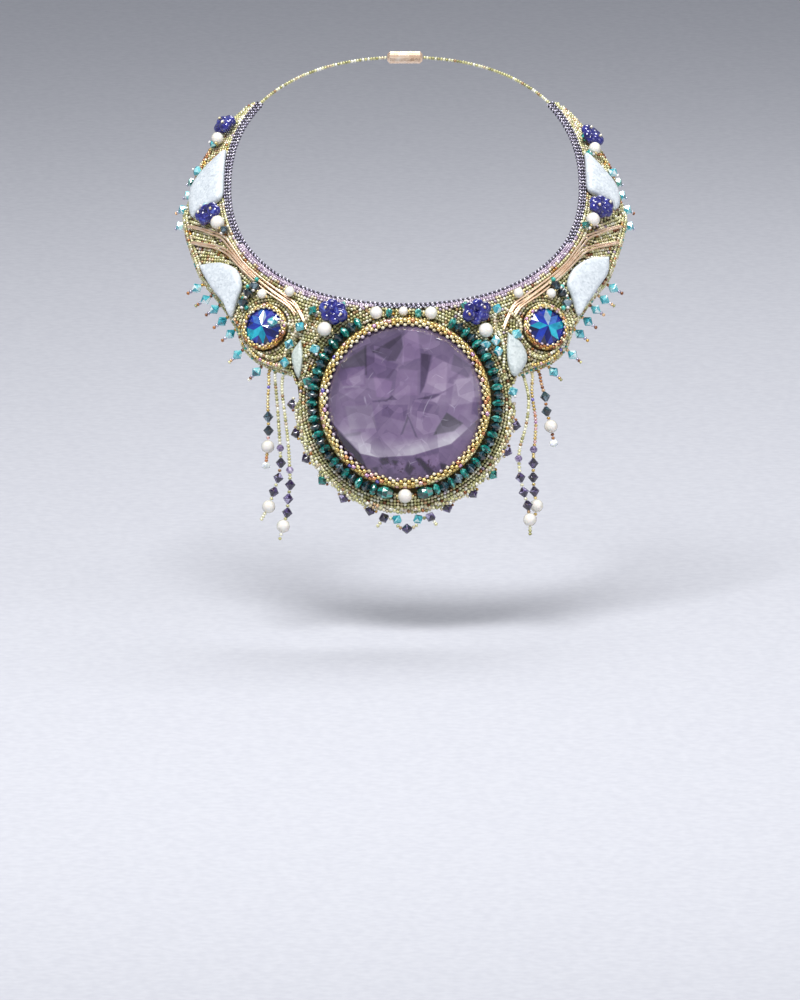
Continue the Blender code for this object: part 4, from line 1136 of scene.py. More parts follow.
@dataclass
class SeedFields(Piece):
    """The five fields of sewn seed beads that cover the backing between the stones."""

    pitch: float = 1.42 * MM
    row_gap: float = 1.40 * MM
    seed_length: float = 1.34 * MM
    seed_width: float = 1.42 * MM
    lift: float = 2.45 * MM
    least_gap: float = 1.16 * MM
    border: float = 0.1 * MM
    guide: tuple[tuple[float, float], ...] = (
        (80.5, 1.02), (76.0, 0.80), (72.5, 0.60), (68.0, 0.38), (63.2, 0.26), (58.0, 0.22))

    def __post_init__(self) -> None:
        """Open the five pieces and the map of places already taken."""
        names = ("seed_field_strap_left", "seed_field_wing_left", "seed_field_bib", "seed_field_wing_right",
                 "seed_field_strap_right")
        self.works = {name: Beadwork(name.replace("seed_field", "seed_rows"), 11 + index)
                      for index, name in enumerate(names)}
        self.taken: dict[tuple[int, int, int], list[Vector]] = {}
        self.chance = np.random.RandomState(5)

    def node_at(self, turn: float) -> str:
        """Return the name of the field's solid at a turn."""
        word = "left" if turn < 0 else "right"
        if abs(turn) <= COLLAR.bib_turn:
            return "seed_field_bib"
        return f"seed_field_wing_{word}" if abs(turn) <= COLLAR.wing_turn else f"seed_field_strap_{word}"

    def is_free(self, point: Vector) -> bool:
        """Tell whether no bead lies closer than the least gap, and take the place if so."""
        cell = tuple(int(math.floor(value / self.least_gap)) for value in point)
        for dx in (-1, 0, 1):
            for dy in (-1, 0, 1):
                for dz in (-1, 0, 1):
                    for other in self.taken.get((cell[0] + dx, cell[1] + dy, cell[2] + dz), ()):
                        if (other - point).length < self.least_gap:
                            return False
        self.taken.setdefault(cell, []).append(point)
        return True

    def covered(self, turn: float, out: float, point: Vector) -> bool:
        """Tell whether a stone or a setting lies over a place."""
        centre, down, _ = COLLAR.bib
        reach = point - centre
        swing = abs(math.degrees(math.atan2(reach.x, reach.dot(down))))
        cover = COLLAR.flat_radius - 0.3 * MM if 8 < swing < 151 else COLLAR.setting_radius + 0.5 * MM
        if reach.length < cover:
            return True
        for side in (-1, 1):
            middle = COLLAR.place(side * RIVOLI_TURN, RIVOLI_OUT, self.lift)[0]
            if (point - middle).length < RIVOLI_RADIUS + RIVOLI_WALL + 0.6 * MM:
                return True
        share = out / COLLAR.wing_width
        return any(inside((turn, share), list(rows)) for _, rows in WHITE_STONES.values())

    def finish_at(self, turn: float, out: float) -> Finish:
        """Return a seed's finish by its place: lilac along the neck line, olive elsewhere."""
        roll = self.chance.rand()
        if out < 2.0 * MM and 8 < abs(turn) < 68:
            return Finish.LILAC if roll < 0.65 else Finish.CREAM
        if 95 < abs(turn) < 108 and out > COLLAR.width(turn) - 4.5 * MM:
            return Finish.COPPER if roll < 0.6 else Finish.OLIVE
        if roll < 0.80:
            return Finish.OLIVE
        if roll < 0.93:
            return Finish.CREAM
        return Finish.COPPER if roll < 0.98 else Finish.LILAC

    def sew_seed(self, centre: Vector, way: Vector, slant: float) -> None:
        """Sew one seed if its place is on the backing and free.

        Args:
            centre: Middle of the seed.
            way: Direction of its row.
            slant: How far it leans out of its row, as a share.
        """
        turn, out = COLLAR.locate(centre)
        middle, _, flat = COLLAR.bib
        on_bib = (centre - middle).length < COLLAR.bib_radius - COLLAR.edge + self.border * 2
        on_bib = on_bib and out > 0.6 * MM
        on_wing = 0.5 * MM < out < COLLAR.width(turn) - COLLAR.edge + self.border * 4
        if not on_bib and not (on_wing and abs(turn) < COLLAR.strap_turn - 0.4):
            return
        if self.covered(turn, out, centre) or not self.is_free(centre):
            return
        normal = flat if on_bib else COLLAR.place(turn, out, 0.0)[1]
        side = way.cross(normal)
        lift = normal * self.chance.uniform(-0.12, 0.12) * MM
        work = self.works["seed_field_bib" if on_bib else self.node_at(turn)]
        work.add(Bead.SEED, self.finish_at(turn, out), centre + lift,
                 way + side * (slant + self.chance.normal(0.0, 0.10)), normal, self.seed_length,
                 self.seed_width * self.chance.uniform(0.94, 1.08))

    def sew(self, route: list[Vector], slant: float = 0.0) -> None:
        """Sew one row of seeds along a route that runs at the fields' lift."""
        for index, (centre, way) in enumerate(walk(route, self.pitch)):
            self.sew_seed(centre, way, slant if index % 2 else -slant)

    def rings(self) -> None:
        """Sew the rows that run round the bib and round the blue crystals."""
        rows = [COLLAR.bib_radius - COLLAR.edge + self.border - row * self.row_gap for row in range(5)]
        for row, radius in enumerate(rows):
            slant = 0.8 if row < 2 else 0.3
            self.sew([COLLAR.bib_place(angle, radius, self.lift) for angle in range(-178, 179, 2)], slant)
        for side in (-1, 1):
            middle, normal = COLLAR.place(side * RIVOLI_TURN, RIVOLI_OUT, self.lift)
            across = RIGHT - normal * RIGHT.dot(normal)
            across.normalize()
            over = normal.cross(across)
            for row in range(4):
                radius = RIVOLI_RADIUS + RIVOLI_WALL + 1.1 * MM + row * self.row_gap
                swings = [2 * math.pi * step / 72 for step in range(73)]
                self.sew([middle + (across * math.cos(swing) + over * math.sin(swing)) * radius
                          for swing in swings])

    def borders(self) -> None:
        """Sew the two rows that follow each wing's outer edge."""
        for side in (-1, 1):
            for row in range(2):
                back = COLLAR.edge - self.border + row * self.row_gap
                turns = np.arange(24.0, COLLAR.strap_turn, 0.5)
                self.sew([COLLAR.place(side * float(turn), COLLAR.width(float(turn)) - back, self.lift)[0]
                          for turn in turns])

    def diagonals(self) -> None:
        """Sew the slanting rows between the upper and the middle stones, in line with the wires."""
        guide = [Vector((turn, share * COLLAR.wing_width, 0.0)) for turn, share in self.guide]
        for side in (-1, 1):
            for row in range(-9, 8):
                route = []
                for knot in smooth_route(guide, 6):
                    turn = knot.x + row * 1.45
                    if 56 < turn < 88:
                        route.append(COLLAR.place(side * turn, knot.y, self.lift)[0])
                if len(route) > 2:
                    self.sew(route)

    def lines(self) -> None:
        """Sew the rows that run along the collar."""
        count = int(1.72 * COLLAR.wing_width / self.row_gap)
        for row in range(count + 1):
            out = 1.1 * MM + row * self.row_gap
            turns = np.arange(-COLLAR.strap_turn, COLLAR.strap_turn + 0.1, 0.8)
            self.sew([COLLAR.place(float(turn), out, self.lift)[0] for turn in turns])

    def fill(self) -> None:
        """Sew single seeds into whatever bare spots are left."""
        for turn in np.arange(-COLLAR.strap_turn, COLLAR.strap_turn, 0.45):
            for out in np.arange(0.9 * MM, COLLAR.width(turn), 0.6 * MM):
                spot = COLLAR.place(float(turn), float(out), self.lift - 0.1 * MM)[0]
                ahead = COLLAR.place(float(turn) + 0.5, float(out), self.lift)[0]
                self.sew_seed(spot, ahead - spot, self.chance.uniform(-1.0, 1.0))

    def build(self) -> None:
        """Sew every row and join the five fields."""
        self.rings()
        self.borders()
        self.diagonals()
        self.lines()
        self.fill()
        for node, work in self.works.items():
            self.sew_on(work, "olive_seeds", node)


@dataclass
class NeckEdging(Piece):
    """The fine brick stitched edging of the neck line: silver and dark beads in turn."""

    pitch: float = 1.0 * MM
    bead: float = 1.0 * MM
    rows: tuple[float, ...] = (-50.0, 15.0, 75.0, 135.0, 205.0)
    climb: tuple[tuple[float, float], ...] = ((-0.45 * MM, 1.60 * MM), (0.15 * MM, 2.30 * MM))

    def sew_row(self, work: Beadwork, index: int, out: float, lift: float, lean: float) -> None:
        """Sew one row along the neck line.

        Args:
            work: Beadwork that takes the beads.
            index: Number of the row, which sets where its dark beads fall.
            out: Distance of the row from the neck line.
            lift: Lift of the row.
            lean: Turn of the row's way out from the collar's square direction, in degrees.
        """
        turns = np.arange(-COLLAR.strap_turn, COLLAR.strap_turn + 0.1, 1.0)
        route = [COLLAR.place(float(turn), out, lift)[0] for turn in turns]
        swing = math.radians(lean)
        for step, (centre, way) in enumerate(walk(route, self.pitch)):
            turn = COLLAR.locate(centre)[0]
            _, outward, normal = COLLAR.neck_frame(turn)
            up = normal * math.cos(swing) - outward * math.sin(swing)
            finish = Finish.NIGHT if (step + index) % 2 == 0 else Finish.SILVER
            if index < 0 and 8 < abs(turn) < 64:
                finish = Finish.LILAC
            work.add(Bead.SEED, finish, centre, way, up, self.pitch * 0.95, self.bead)

    def build(self) -> None:
        """Sew the rows round the edge of the backing and the lilac rows that climb to the field."""
        work = Beadwork("neck_edging", 21)
        middle = -COLLAR.edge / 2 - COLLAR.clearance
        radius = (COLLAR.edge - self.bead) / 2
        for index, angle in enumerate(self.rows):
            swing = math.radians(angle)
            out = middle - radius * math.sin(swing)
            self.sew_row(work, index, out, COLLAR.backing / 2 + radius * math.cos(swing), angle)
        for index, (out, lift) in enumerate(self.climb):
            self.sew_row(work, -1 - index, out, lift, 20.0)
        self.sew_on(work, "silver_seeds", "neck_edge")


# Where the three rows of an edging lie round its tube, in degrees, and how far its seeds lean
ROPE_ROWS = (-40.0, 75.0, 190.0)
ROPE_LEAN = 0.35


def sew_rope(work: Beadwork, spot: Callable[[float, float], Vector],
             up_at: Callable[[float, float], Vector], steps: int, bead: float,
             finish_of: Callable[[], Finish]) -> None:
    """Sew an edging of three rows of seeds round a tube.

    Args:
        work: Beadwork that takes the beads.
        spot: Function of (share of the run, place round the tube in degrees) that gives a point.
        up_at: Function of the same that gives the way off the tube.
        steps: Points along the run.
        bead: Width of a seed.
        finish_of: Function that draws the finish of the next bead.
    """
    for angle in ROPE_ROWS:
        route = [spot(step / steps, angle) for step in range(steps + 1)]
        beads = walk(route, bead * 0.98)
        for index, (centre, way) in enumerate(beads):
            share = (index + 0.5) / len(beads)
            up = up_at(share, angle)
            lean = way + way.cross(up) * (ROPE_LEAN if index % 2 else -ROPE_LEAN)
            work.add(Bead.SEED, finish_of(), centre, lean, up, bead * 0.94, bead)


# Crystal picots of each wing's edge, the first one teal: (turn in degrees, reach as a share)
WING_PICOTS = (
    (98.0, 0.62), (94.0, 0.62), (90.5, 0.85), (86.0, 0.55), (63.0, 1.05), (58.0, 1.15), (53.8, 1.00),
    (49.4, 1.05), (45.2, 1.05), (40.3, 1.10), (33.8, 1.10),
)


@dataclass
class WingEdge(Piece):
    """The beaded outer edge of one wing with its crystal picots."""

    side: int
    word: str
    reach: float = 7.5 * MM
    bead: float = 1.3 * MM
    lean: float = 0.45

    def place(self, turn: float, angle: float) -> tuple[Vector, Vector]:
        """Return a seed's place at a turn and an angle round the edge, and the way off it."""
        swing = math.radians(angle)
        radius = (COLLAR.edge - self.bead) / 2
        lift = COLLAR.backing / 2 + radius * math.cos(swing)
        point, normal = COLLAR.rim(self.side * turn, radius * math.sin(swing), lift)
        further = COLLAR.rim(self.side * turn, 2 * MM, lift)[0]
        outward = (further - COLLAR.rim(self.side * turn, 0.0, lift)[0]).normalized()
        return point, normal * math.cos(swing) + outward * math.sin(swing)

    def picot(self, work: Beadwork, turn: float, share: float, finish: Finish) -> None:
        """Sew one picot: a small seed at the edge, a crystal and three seeds beyond it."""
        lift = COLLAR.backing / 2
        root, normal = COLLAR.rim(self.side * turn, 0.0, lift)
        straight = COLLAR.rim(self.side * turn, self.reach * share + COLLAR.edge / 2, lift)[0]
        span = (straight - root).length
        lean = RIGHT * self.side * self.lean if turn < 70 else Vector()
        way = ((straight - root) / span + lean).normalized()
        tip = root + way * span
        centre = root.lerp(tip, 0.44)
        size = min(4.4 * MM, span * 0.76)
        work.add(Bead.BICONE, finish, centre, way, normal, size, BICONE)
        room = span - (centre - root).length - size / 2
        seeds = max(1, round(room / (1.1 * MM)))
        for index in range(seeds):
            spot = centre + way * (size / 2 + (index + 0.5) * room / seeds)
            seed = (Finish.SILVER, Finish.COPPER, Finish.OLIVE)[index % 3]
            work.add(Bead.SEED, seed, spot, way, normal, room / seeds * 0.98, 1.55 * MM)
        near = centre - way * (size / 2 + 0.5 * MM)
        work.add(Bead.SEED, Finish.COPPER, near, way, normal, 1.2 * MM, 1.5 * MM)

    def build(self) -> None:
        """Sew the edging and its picots."""
        work = Beadwork(f"wing_edging_{self.word}", 31 + self.side)
        turns = [row[0] for row in COLLAR_OUTLINE if row[0] > COLLAR.shoulder_turn + 3]
        first, last = turns[0], turns[-1]

        def turn_at(share: float) -> float:
            """Return the turn at a share of the wing's edge."""
            return first + (last - first) * share

        def finish_of() -> Finish:
            """Draw the finish of the next seed."""
            roll = work.chance.rand()
            if roll < 0.62:
                return Finish.OLIVE
            if roll < 0.84:
                return Finish.CREAM
            return Finish.COPPER if roll < 0.93 else Finish.TURQUOISE

        sew_rope(work, lambda share, angle: self.place(turn_at(share), angle)[0],
                 lambda share, angle: self.place(turn_at(share), angle)[1], 150, self.bead, finish_of)
        for index, (turn, share) in enumerate(WING_PICOTS):
            self.picot(work, turn, share, Finish.AQUA if index else Finish.TEAL)
        self.sew_on(work, "aqua_crystal", f"edge_{self.word}")


# Crystal picots of the bib's edge, by angle from straight down: all are plum but two
BIB_PICOTS = (-90, -75, -61, -47, -33, -18, 22, 37, 51, 65, 79)
TEAL_PICOTS = (-47, 51)


@dataclass
class BibEdge(Piece):
    """The twisted rope of olive seeds round the bib with dark crystals sewn outside it."""

    bead: float = 1.6 * MM
    tube: float = 1.0 * MM
    twists: float = 9.0
    picot_out: float = 2.45 * MM
    crystal_length: float = 4.0 * MM
    seed_length: float = 1.1 * MM
    seed_width: float = 1.4 * MM

    def build(self) -> None:
        """Sew the rope and its crystals."""
        work = Beadwork("bib_edging", 41)
        rim = COLLAR.bib_radius - COLLAR.edge / 2
        end_angle = COLLAR.shoulder_angle + 3
        flat = COLLAR.bib[2]
        mid_lift = COLLAR.backing / 2
        rope_lift = mid_lift + self.tube

        def radial(share: float) -> Vector:
            """Return the way out from the bib's middle."""
            angle = end_angle * (2 * share - 1)
            return COLLAR.bib_place(angle, 1.0, 0.0) - COLLAR.bib_place(angle, 0.0, 0.0)

        def spot(share: float, around: float) -> Vector:
            """Return a point on the twisted rope."""
            swing = math.radians(around + 360 * self.twists * share)
            angle = end_angle * (2 * share - 1)
            return COLLAR.bib_place(angle, rim + self.tube * math.sin(swing),
                                    rope_lift + self.tube * math.cos(swing))

        def up_at(share: float, around: float) -> Vector:
            """Return the way off the twisted rope."""
            swing = math.radians(around + 360 * self.twists * share)
            return flat * math.cos(swing) + radial(share) * math.sin(swing)

        def finish_of() -> Finish:
            """Draw the finish of the next seed."""
            roll = work.chance.rand()
            return Finish.OLIVE if roll < 0.68 else Finish.CREAM if roll < 0.93 else Finish.COPPER

        sew_rope(work, spot, up_at, 400, self.bead, finish_of)
        for angle in BIB_PICOTS:
            finish = Finish.TEAL if angle in TEAL_PICOTS else Finish.PLUM
            centre = COLLAR.bib_place(angle, rim + self.picot_out, mid_lift)
            along = radial((angle / end_angle + 1) / 2)
            around = along.cross(flat)
            work.add(Bead.BICONE, finish, centre, around, flat, self.crystal_length, BICONE)
            for turn in (-1, 1):
                seed = centre + around * turn * 2.5 * MM - along * 0.5 * MM
                work.add(Bead.SEED, Finish.COPPER if turn < 0 else Finish.CREAM, seed, around, flat,
                         self.seed_length, self.seed_width)
        self.sew_on(work, "olive_seeds", "medallion_edge")


# Healed fracture planes of the amethyst, and one painted glint: shadow, mist, then corners as (right, up)
# shares of the radius
FRACTURES_AND_GLINT = (
    (-0.20, 0.10, ((-0.42, 0.64), (-0.05, 0.86), (-0.02, 0.70), (-0.12, 0.52), (-0.22, 0.52))),
    (-0.10, -0.15, ((-0.50, 0.60), (-0.22, 0.52), (-0.08, 0.48), (-0.20, 0.30), (-0.50, 0.30))),
    (0.10, -0.15, ((0.00, 0.93), (0.16, 0.92), (0.20, 0.56), (-0.04, 0.50))),
    (-0.14, 0.35, ((-0.84, 0.48), (-0.50, 0.70), (-0.50, 0.46), (-0.80, 0.42))),
    (-0.04, -0.20, ((-0.90, 0.44), (-0.51, 0.46), (-0.51, 0.20), (-0.76, 0.14))),
    (-0.16, 0.10, ((-0.515, 0.72), (-0.49, 0.72), (-0.485, 0.34), (-0.51, 0.34))),
    (-0.18, -0.05, ((0.20, 0.62), (0.34, 0.60), (0.25, 0.20), (0.19, 0.10))),
    (0.12, -0.05, ((0.36, 0.58), (0.54, 0.50), (0.52, 0.08), (0.22, 0.12))),
    (-0.20, 0.00, ((0.14, 0.03), (0.53, 0.14), (0.36, 0.04), (0.26, 0.03))),
    (-0.22, 0.00, ((-0.23, 0.02), (-0.17, 0.085), (-0.10, 0.02))),
    (-0.14, 0.00, ((-0.42, 0.01), (-0.22, 0.03), (-0.22, 0.00), (-0.41, -0.01))),
    (0.16, 0.05, ((0.30, 0.01), (0.46, 0.09), (0.41, -0.02))),
    (-0.26, 0.75, ((0.40, -0.34), (0.53, -0.14), (0.74, -0.28), (0.62, -0.38), (0.36, -0.43))),
    (-0.16, 0.30, ((0.03, -0.18), (0.045, -0.22), (-0.03, -0.42), (-0.06, -0.43))),
    (-0.18, 0.30, ((0.03, -0.18), (0.05, -0.20), (0.165, -0.47), (0.13, -0.45))),
    (0.06, -0.10, ((-0.10, 0.42), (0.16, 0.40), (0.16, 0.08), (-0.14, 0.08))),
    (0.08, -0.25, ((-0.40, 0.32), (-0.16, 0.26), (-0.20, 0.05), (-0.36, 0.06))),
    (0.05, 0.30, ((-0.76, -0.06), (-0.42, -0.04), (-0.36, -0.34), (-0.70, -0.36))),
    (-0.10, 0.30, ((-0.78, -0.42), (-0.56, -0.38), (-0.56, -0.43), (-0.76, -0.46))),
    (-0.08, -0.10, ((0.10, 0.00), (0.36, -0.04), (0.22, -0.24), (0.08, -0.16))),
    (-0.12, -0.20, ((0.86, 0.05), (1.00, 0.08), (1.00, -0.20), (0.84, -0.16))),
    (-0.12, 0.20, ((0.62, 0.62), (0.86, 0.44), (0.80, 0.30), (0.58, 0.40))),
    (-0.12, 0.05, ((0.56, 0.30), (0.70, 0.38), (0.62, 0.22), (0.54, 0.24))),
    (0.10, 0.15, ((0.62, 0.28), (0.94, 0.34), (0.96, 0.00), (0.58, -0.06))),
    (-0.08, -0.15, ((-0.28, -0.04), (0.04, -0.04), (0.00, -0.26), (-0.30, -0.18))),
    (0.13, 0.55, ((-0.83, 0.05), (-0.60, 0.16), (-0.58, 0.18), (-0.84, 0.03))),
    (0.13, 0.55, ((-0.80, 0.17), (-0.57, 0.185), (-0.57, 0.20), (-0.78, 0.20))),
    (0.09, 0.20, ((-0.72, 0.30), (-0.52, 0.42), (-0.52, 0.22), (-0.66, 0.20))),
    (-0.36, -0.30, ((-0.94, -0.26), (-0.58, -0.645), (-0.47, -0.88), (-0.82, -0.62))),
    # Painted glint: a small bright patch on the lower left crown.
    (0.60, 0.45, ((-0.71, -0.635), (-0.66, -0.665), (-0.64, -0.70), (-0.70, -0.66))),
    (-0.34, -0.15, ((-0.33, -0.73), (-0.22, -0.72), (-0.20, -0.79), (-0.29, -0.81))),
    (-0.34, -0.15, ((-0.17, -0.75), (-0.09, -0.76), (-0.12, -0.82))),
    (-0.34, -0.15, ((0.03, -0.78), (0.12, -0.84), (0.06, -0.94), (-0.01, -0.87))),
    (-0.34, -0.15, ((0.12, -0.72), (0.20, -0.72), (0.38, -0.90), (0.31, -0.94))),
    (-0.34, -0.15, ((0.44, -0.78), (0.53, -0.80), (0.47, -0.88))),
    (-0.25, -0.15, ((-0.42, -0.84), (-0.34, -0.83), (-0.35, -0.91))),
    (0.12, -0.10, ((0.20, -0.71), (0.42, -0.66), (0.44, -0.78), (0.36, -0.84))),
    (0.10, -0.10, ((-0.20, -0.80), (0.00, -0.78), (-0.02, -0.90), (-0.14, -0.92))),
)

# Corners of the table: (angle from straight down, radius as a share of the stone's radius)
TABLE_CORNERS = (
    (-120.0, 0.95), (-71.0, 0.96), (-41.0, 0.875), (-25.0, 0.785), (8.0, 0.69), (47.0, 0.79),
    (77.0, 0.96), (120.0, 0.96), (145.0, 0.93), (172.0, 0.92), (-176.0, 0.90), (-150.0, 0.84),
)


@dataclass
class Amethyst(Piece):
    """The great round stone: a flat table with uneven corners over a bevelled crown."""

    radius: float = 32.8 * MM
    girdle: float = 2.6 * MM
    height: float = 5.6 * MM
    swings: int = 360
    table_rings: int = 72
    crown_rings: int = 20

    def table_reach(self, angle: float) -> float:
        """Return the table's reach at an angle from straight down, along the sides between corners."""
        corners = sorted((corner % 360, reach) for corner, reach in TABLE_CORNERS)
        corners = [(corners[-1][0] - 360, corners[-1][1]), *corners, (corners[0][0] + 360, corners[0][1])]
        angle %= 360
        for (first, near), (last, far) in zip(corners, corners[1:]):
            if first <= angle <= last:
                a, b, t = math.radians(first), math.radians(last), math.radians(angle)
                rise = near * far * math.sin(b - a)
                run = near * math.sin(t - a) + far * math.sin(b - t)
                return rise / run
        return 1.0

    def planes_at(self, across: np.ndarray, up: np.ndarray) -> tuple[np.ndarray, np.ndarray]:
        """Blend the fracture planes, the painted reflection stripe inside the table's lower edge and the
        painted glint over the plan.

        Args:
            across: Places to the right, as shares of the radius.
            up: Places upwards, as shares of the radius.

        Returns:
            The shadow and the mist at each place.
        """
        shadow = np.full(across.shape, 0.39) + 0.05 * across
        reach = np.hypot(across, up)
        swings = np.degrees(np.arctan2(across, -up)) % 360
        marks = np.arange(0.0, 361.0)
        share = reach / np.interp(swings, marks, [self.table_reach(mark) for mark in marks])
        low = np.clip((-up - 0.20) / 0.30, 0, 1)
        crown = np.clip((share - 1.0) / 0.02, 0, 1) * low
        # Painted reflection: a pale grey stripe inside the table's lower edge, lighter and mistier.
        reflection_band = np.clip((share - 0.66) / 0.24, 0, 1) * low * (1 - crown)
        rim = np.clip((reach - 0.80) / 0.20, 0, 1) * (1 - low)
        mist = 0.30 + 0.52 * reflection_band + 0.20 * rim - 0.30 * crown
        shadow += 0.26 * reflection_band - 0.10 * rim - 0.10 * np.clip((up - 0.25) / 0.35, 0, 1) - 0.15 * crown
        for dark, grey, corners in FRACTURES_AND_GLINT:
            middle = np.mean(corners, axis=0)
            depth = np.full(across.shape, 9.0)
            for (ax, ay), (bx, by) in zip(corners, corners[1:] + corners[:1]):
                nx, ny = by - ay, ax - bx
                size = math.hypot(nx, ny)
                nx, ny = nx / size, ny / size
                if (middle[0] - ax) * nx + (middle[1] - ay) * ny < 0:
                    nx, ny = -nx, -ny
                depth = np.minimum(depth, (across - ax) * nx + (up - ay) * ny)
            inside_it = np.clip((depth + 0.008) / 0.018, 0, 1)
            fade = 1.25 - 0.40 * np.clip(depth / 0.25, 0, 1)
            shadow += dark * inside_it * fade
            mist += grey * inside_it
        return shadow, mist

    def build(self) -> None:
        """Cut the stone and lay its planes."""
        swings = [360.0 * step / self.swings for step in range(self.swings)]
        reaches = [self.table_reach(angle) for angle in swings]
        rings = [(1.0, 0.0), (1.0, self.girdle)]
        points, plan = [], []
        levels = [("girdle", share, height) for share, height in rings]
        levels += [("crown", step / self.crown_rings, 0.0) for step in range(1, self.crown_rings + 1)]
        levels += [("table", 1 - step / self.table_rings, 0.0) for step in range(1, self.table_rings)]
        for kind, share, height in levels:
            for angle, reach in zip(swings, reaches):
                if kind == "crown":
                    spread = 1 + (reach - 1) * share
                    height = self.girdle + (self.height - self.girdle) * share
                elif kind == "table":
                    spread, height = reach * share, self.height
                else:
                    spread = share
                turn = math.radians(angle)
                across, up = spread * math.sin(turn), -spread * math.cos(turn)
                points.append((across * self.radius, up * self.radius, height))
                plan.append((across, up))
        points.append((0.0, 0.0, self.height))
        plan.append((0.0, 0.0))
        faces = ring_faces(len(levels), self.swings)
        last = (len(levels) - 1) * self.swings
        for step in range(self.swings):
            faces.append((last + step, last + (step + 1) % self.swings, len(points) - 1))
        faces.append(tuple(range(self.swings))[::-1])
        stone = mesh_object("amethyst_cut", np.array(points), faces, True)
        stone.data.set_sharp_from_angle(angle=math.radians(12))
        stone.data.materials.append(self.finishes[Finish.AMETHYST])
        layer = stone.data.uv_layers.new(name="stone_plan")
        loops = np.zeros(len(stone.data.loops), np.int32)
        stone.data.loops.foreach_get("vertex_index", loops)
        flat = np.array(plan)
        layer.data.foreach_set("uv", flat[loops].astype(np.float32).ravel())
        shadow, mist = self.planes_at(flat[:, 0], flat[:, 1])
        paint(stone.data, "shadow", shadow)
        paint(stone.data, "mist", mist)
        stone.data.transform(bib_matrix(COLLAR.bib_place(0.0, 0.0, COLLAR.bed), COLLAR.bib[2]))
        finish_piece(stone, ("amethyst",))


def bib_matrix(place: Vector, normal: Vector) -> Matrix:
    """Return the matrix that stands a shape made on the XY plane on the collar, its Y pointing up."""
    down = (COLLAR.bib[1] - normal * COLLAR.bib[1].dot(normal)).normalized()
    turned = Matrix((normal.cross(down), -down, normal)).transposed()
    return Matrix.Translation(place) @ turned.to_4x4()


@dataclass
class PeyoteBezel(Piece):
    """A woven setting: rows of cylinder beads, each row set half a bead on from the last."""

    name: str
    node: str
    matrix: Matrix
    stone: float
    girdle: float
    wall: float
    height: float
    lip: float
    length: float
    width: float
    low_finish: Finish = Finish.GOLD

    def rows(self) -> list[tuple[float, float, float]]:
        """Return the rows as (radius, height, lean of the row from the plane), from outside in."""
        inner = self.stone + COLLAR.clearance
        outer = inner + self.wall
        over = self.girdle + 2 * COLLAR.clearance
        half = self.width / 2
        profile = [(outer - half, half), (outer - half, self.height * 0.55),
                   (outer - self.wall * 0.42, self.height - half * 0.9),
                   (inner + half * 0.3, self.height - half * 0.6),
                   (inner - self.lip * 0.5, over + half * 0.7)]
        lengths = lengths_along(profile)
        count = int(round(lengths[-1] / (self.width * 0.56)))
        rows = []
        for index in range(count + 1):
            mark = lengths[-1] * index / count
            radius = float(np.interp(mark, lengths, [row[0] for row in profile]))
            height = float(np.interp(mark, lengths, [row[1] for row in profile]))
            rows.append((radius, height, 90 * (1 - index / count)))
        return rows

    def build(self) -> None:
        """Weave the rows."""
        work = Beadwork(self.name, 51 + len(self.name))
        rows = self.rows()
        slots = int(round(2 * math.pi * self.stone / self.length / 2)) * 2
        centre = self.matrix.translation
        turned = self.matrix.to_3x3()
        for row, (radius, height, lean) in enumerate(rows):
            last = row == len(rows) - 1
            for slot in range(row % 2, slots, 2):
                swing = 2 * math.pi * slot / slots
                way = turned @ Vector((-math.sin(swing), math.cos(swing), 0.0))
                radial = turned @ Vector((math.cos(swing), math.sin(swing), 0.0))
                normal = turned @ Vector((0.0, 0.0, 1.0))
                tilt = math.radians(lean)
                up = normal * math.cos(tilt) + radial * math.sin(tilt)
                spot = centre + radial * radius + normal * height
                room = 2 * math.pi * radius / slots
                if last:
                    finish = Finish.CREAM if work.chance.rand() < 0.8 else Finish.LILAC
                    work.add(Bead.SEED, finish, spot, way, up, room * 1.0, self.width * 0.86)
                    continue
                low = math.sin(swing) < -0.45 and work.chance.rand() < 0.6
                finish = self.low_finish if low else Finish.GOLD
                work.add(Bead.CYLINDER, finish, spot, way, up, room * 0.97, self.width)
        self.sew_on(work, "gold_beads", self.node)


@dataclass
class CrystalHalo(Piece):
    """One side of the ring round the setting: teal rondelles and dark bicones in turn."""

    side: int
    word: str
    bead_length: float = 3.4 * MM
    end_angle: float = 152.0
    pearl_radius: float = 3.0 * MM

    def build(self) -> None:
        """Sew the crystals round the setting."""
        work = Beadwork(f"crystal_ring_{self.word}", 61 + self.side)
        radius = COLLAR.halo_radius
        lift = COLLAR.bed + COLLAR.halo_width / 2
        start = math.degrees((self.pearl_radius + COLLAR.clearance + self.bead_length / 2) / radius)
        beads = round(math.radians(self.end_angle - start) * radius / self.bead_length)
        step = (self.end_angle - start) / beads
        flat = COLLAR.bib[2]
        room = math.radians(step) * radius
        for index in range(1, beads):
            angle = self.side * (start + (index + (0.0 if index == 1 else 0.5)) * step)
            centre = COLLAR.bib_place(angle, radius, lift)
            radial = COLLAR.bib_place(angle, radius + 1.0, lift) - centre
            way = radial.cross(flat)
            tone = work.chance.uniform(0.1, 0.7)
            if index == 1:
                work.add(Bead.RONDELLE, Finish.TEAL, centre, way, flat, room * 1.9, 5.1 * MM, tone)
            elif index % 2 == 0:
                work.add(Bead.RONDELLE, Finish.TEAL, centre, way, flat, room * 0.74, 5.1 * MM, tone)
            else:
                work.add(Bead.BICONE, Finish.MONTANA, centre, way, flat, room * 1.24, 5.0 * MM, tone)
        self.sew_on(work, "teal_crystal", f"crystal_halo_{self.word}")


# Painted reflections: the colours that the facets of a foiled crystal throw back
FACET_REFLECTION_COLOURS = {
    "navy": "#0b1a6e", "royal": "#1238b0", "violet": "#3a3fa8", "lagoon": "#0aa3c4", "cyan": "#22c7e0",
    "pearl": "#9fb4cf", "mauve": "#7078a8", "ink": "#070d3c", "sky": "#3f74c8",
}
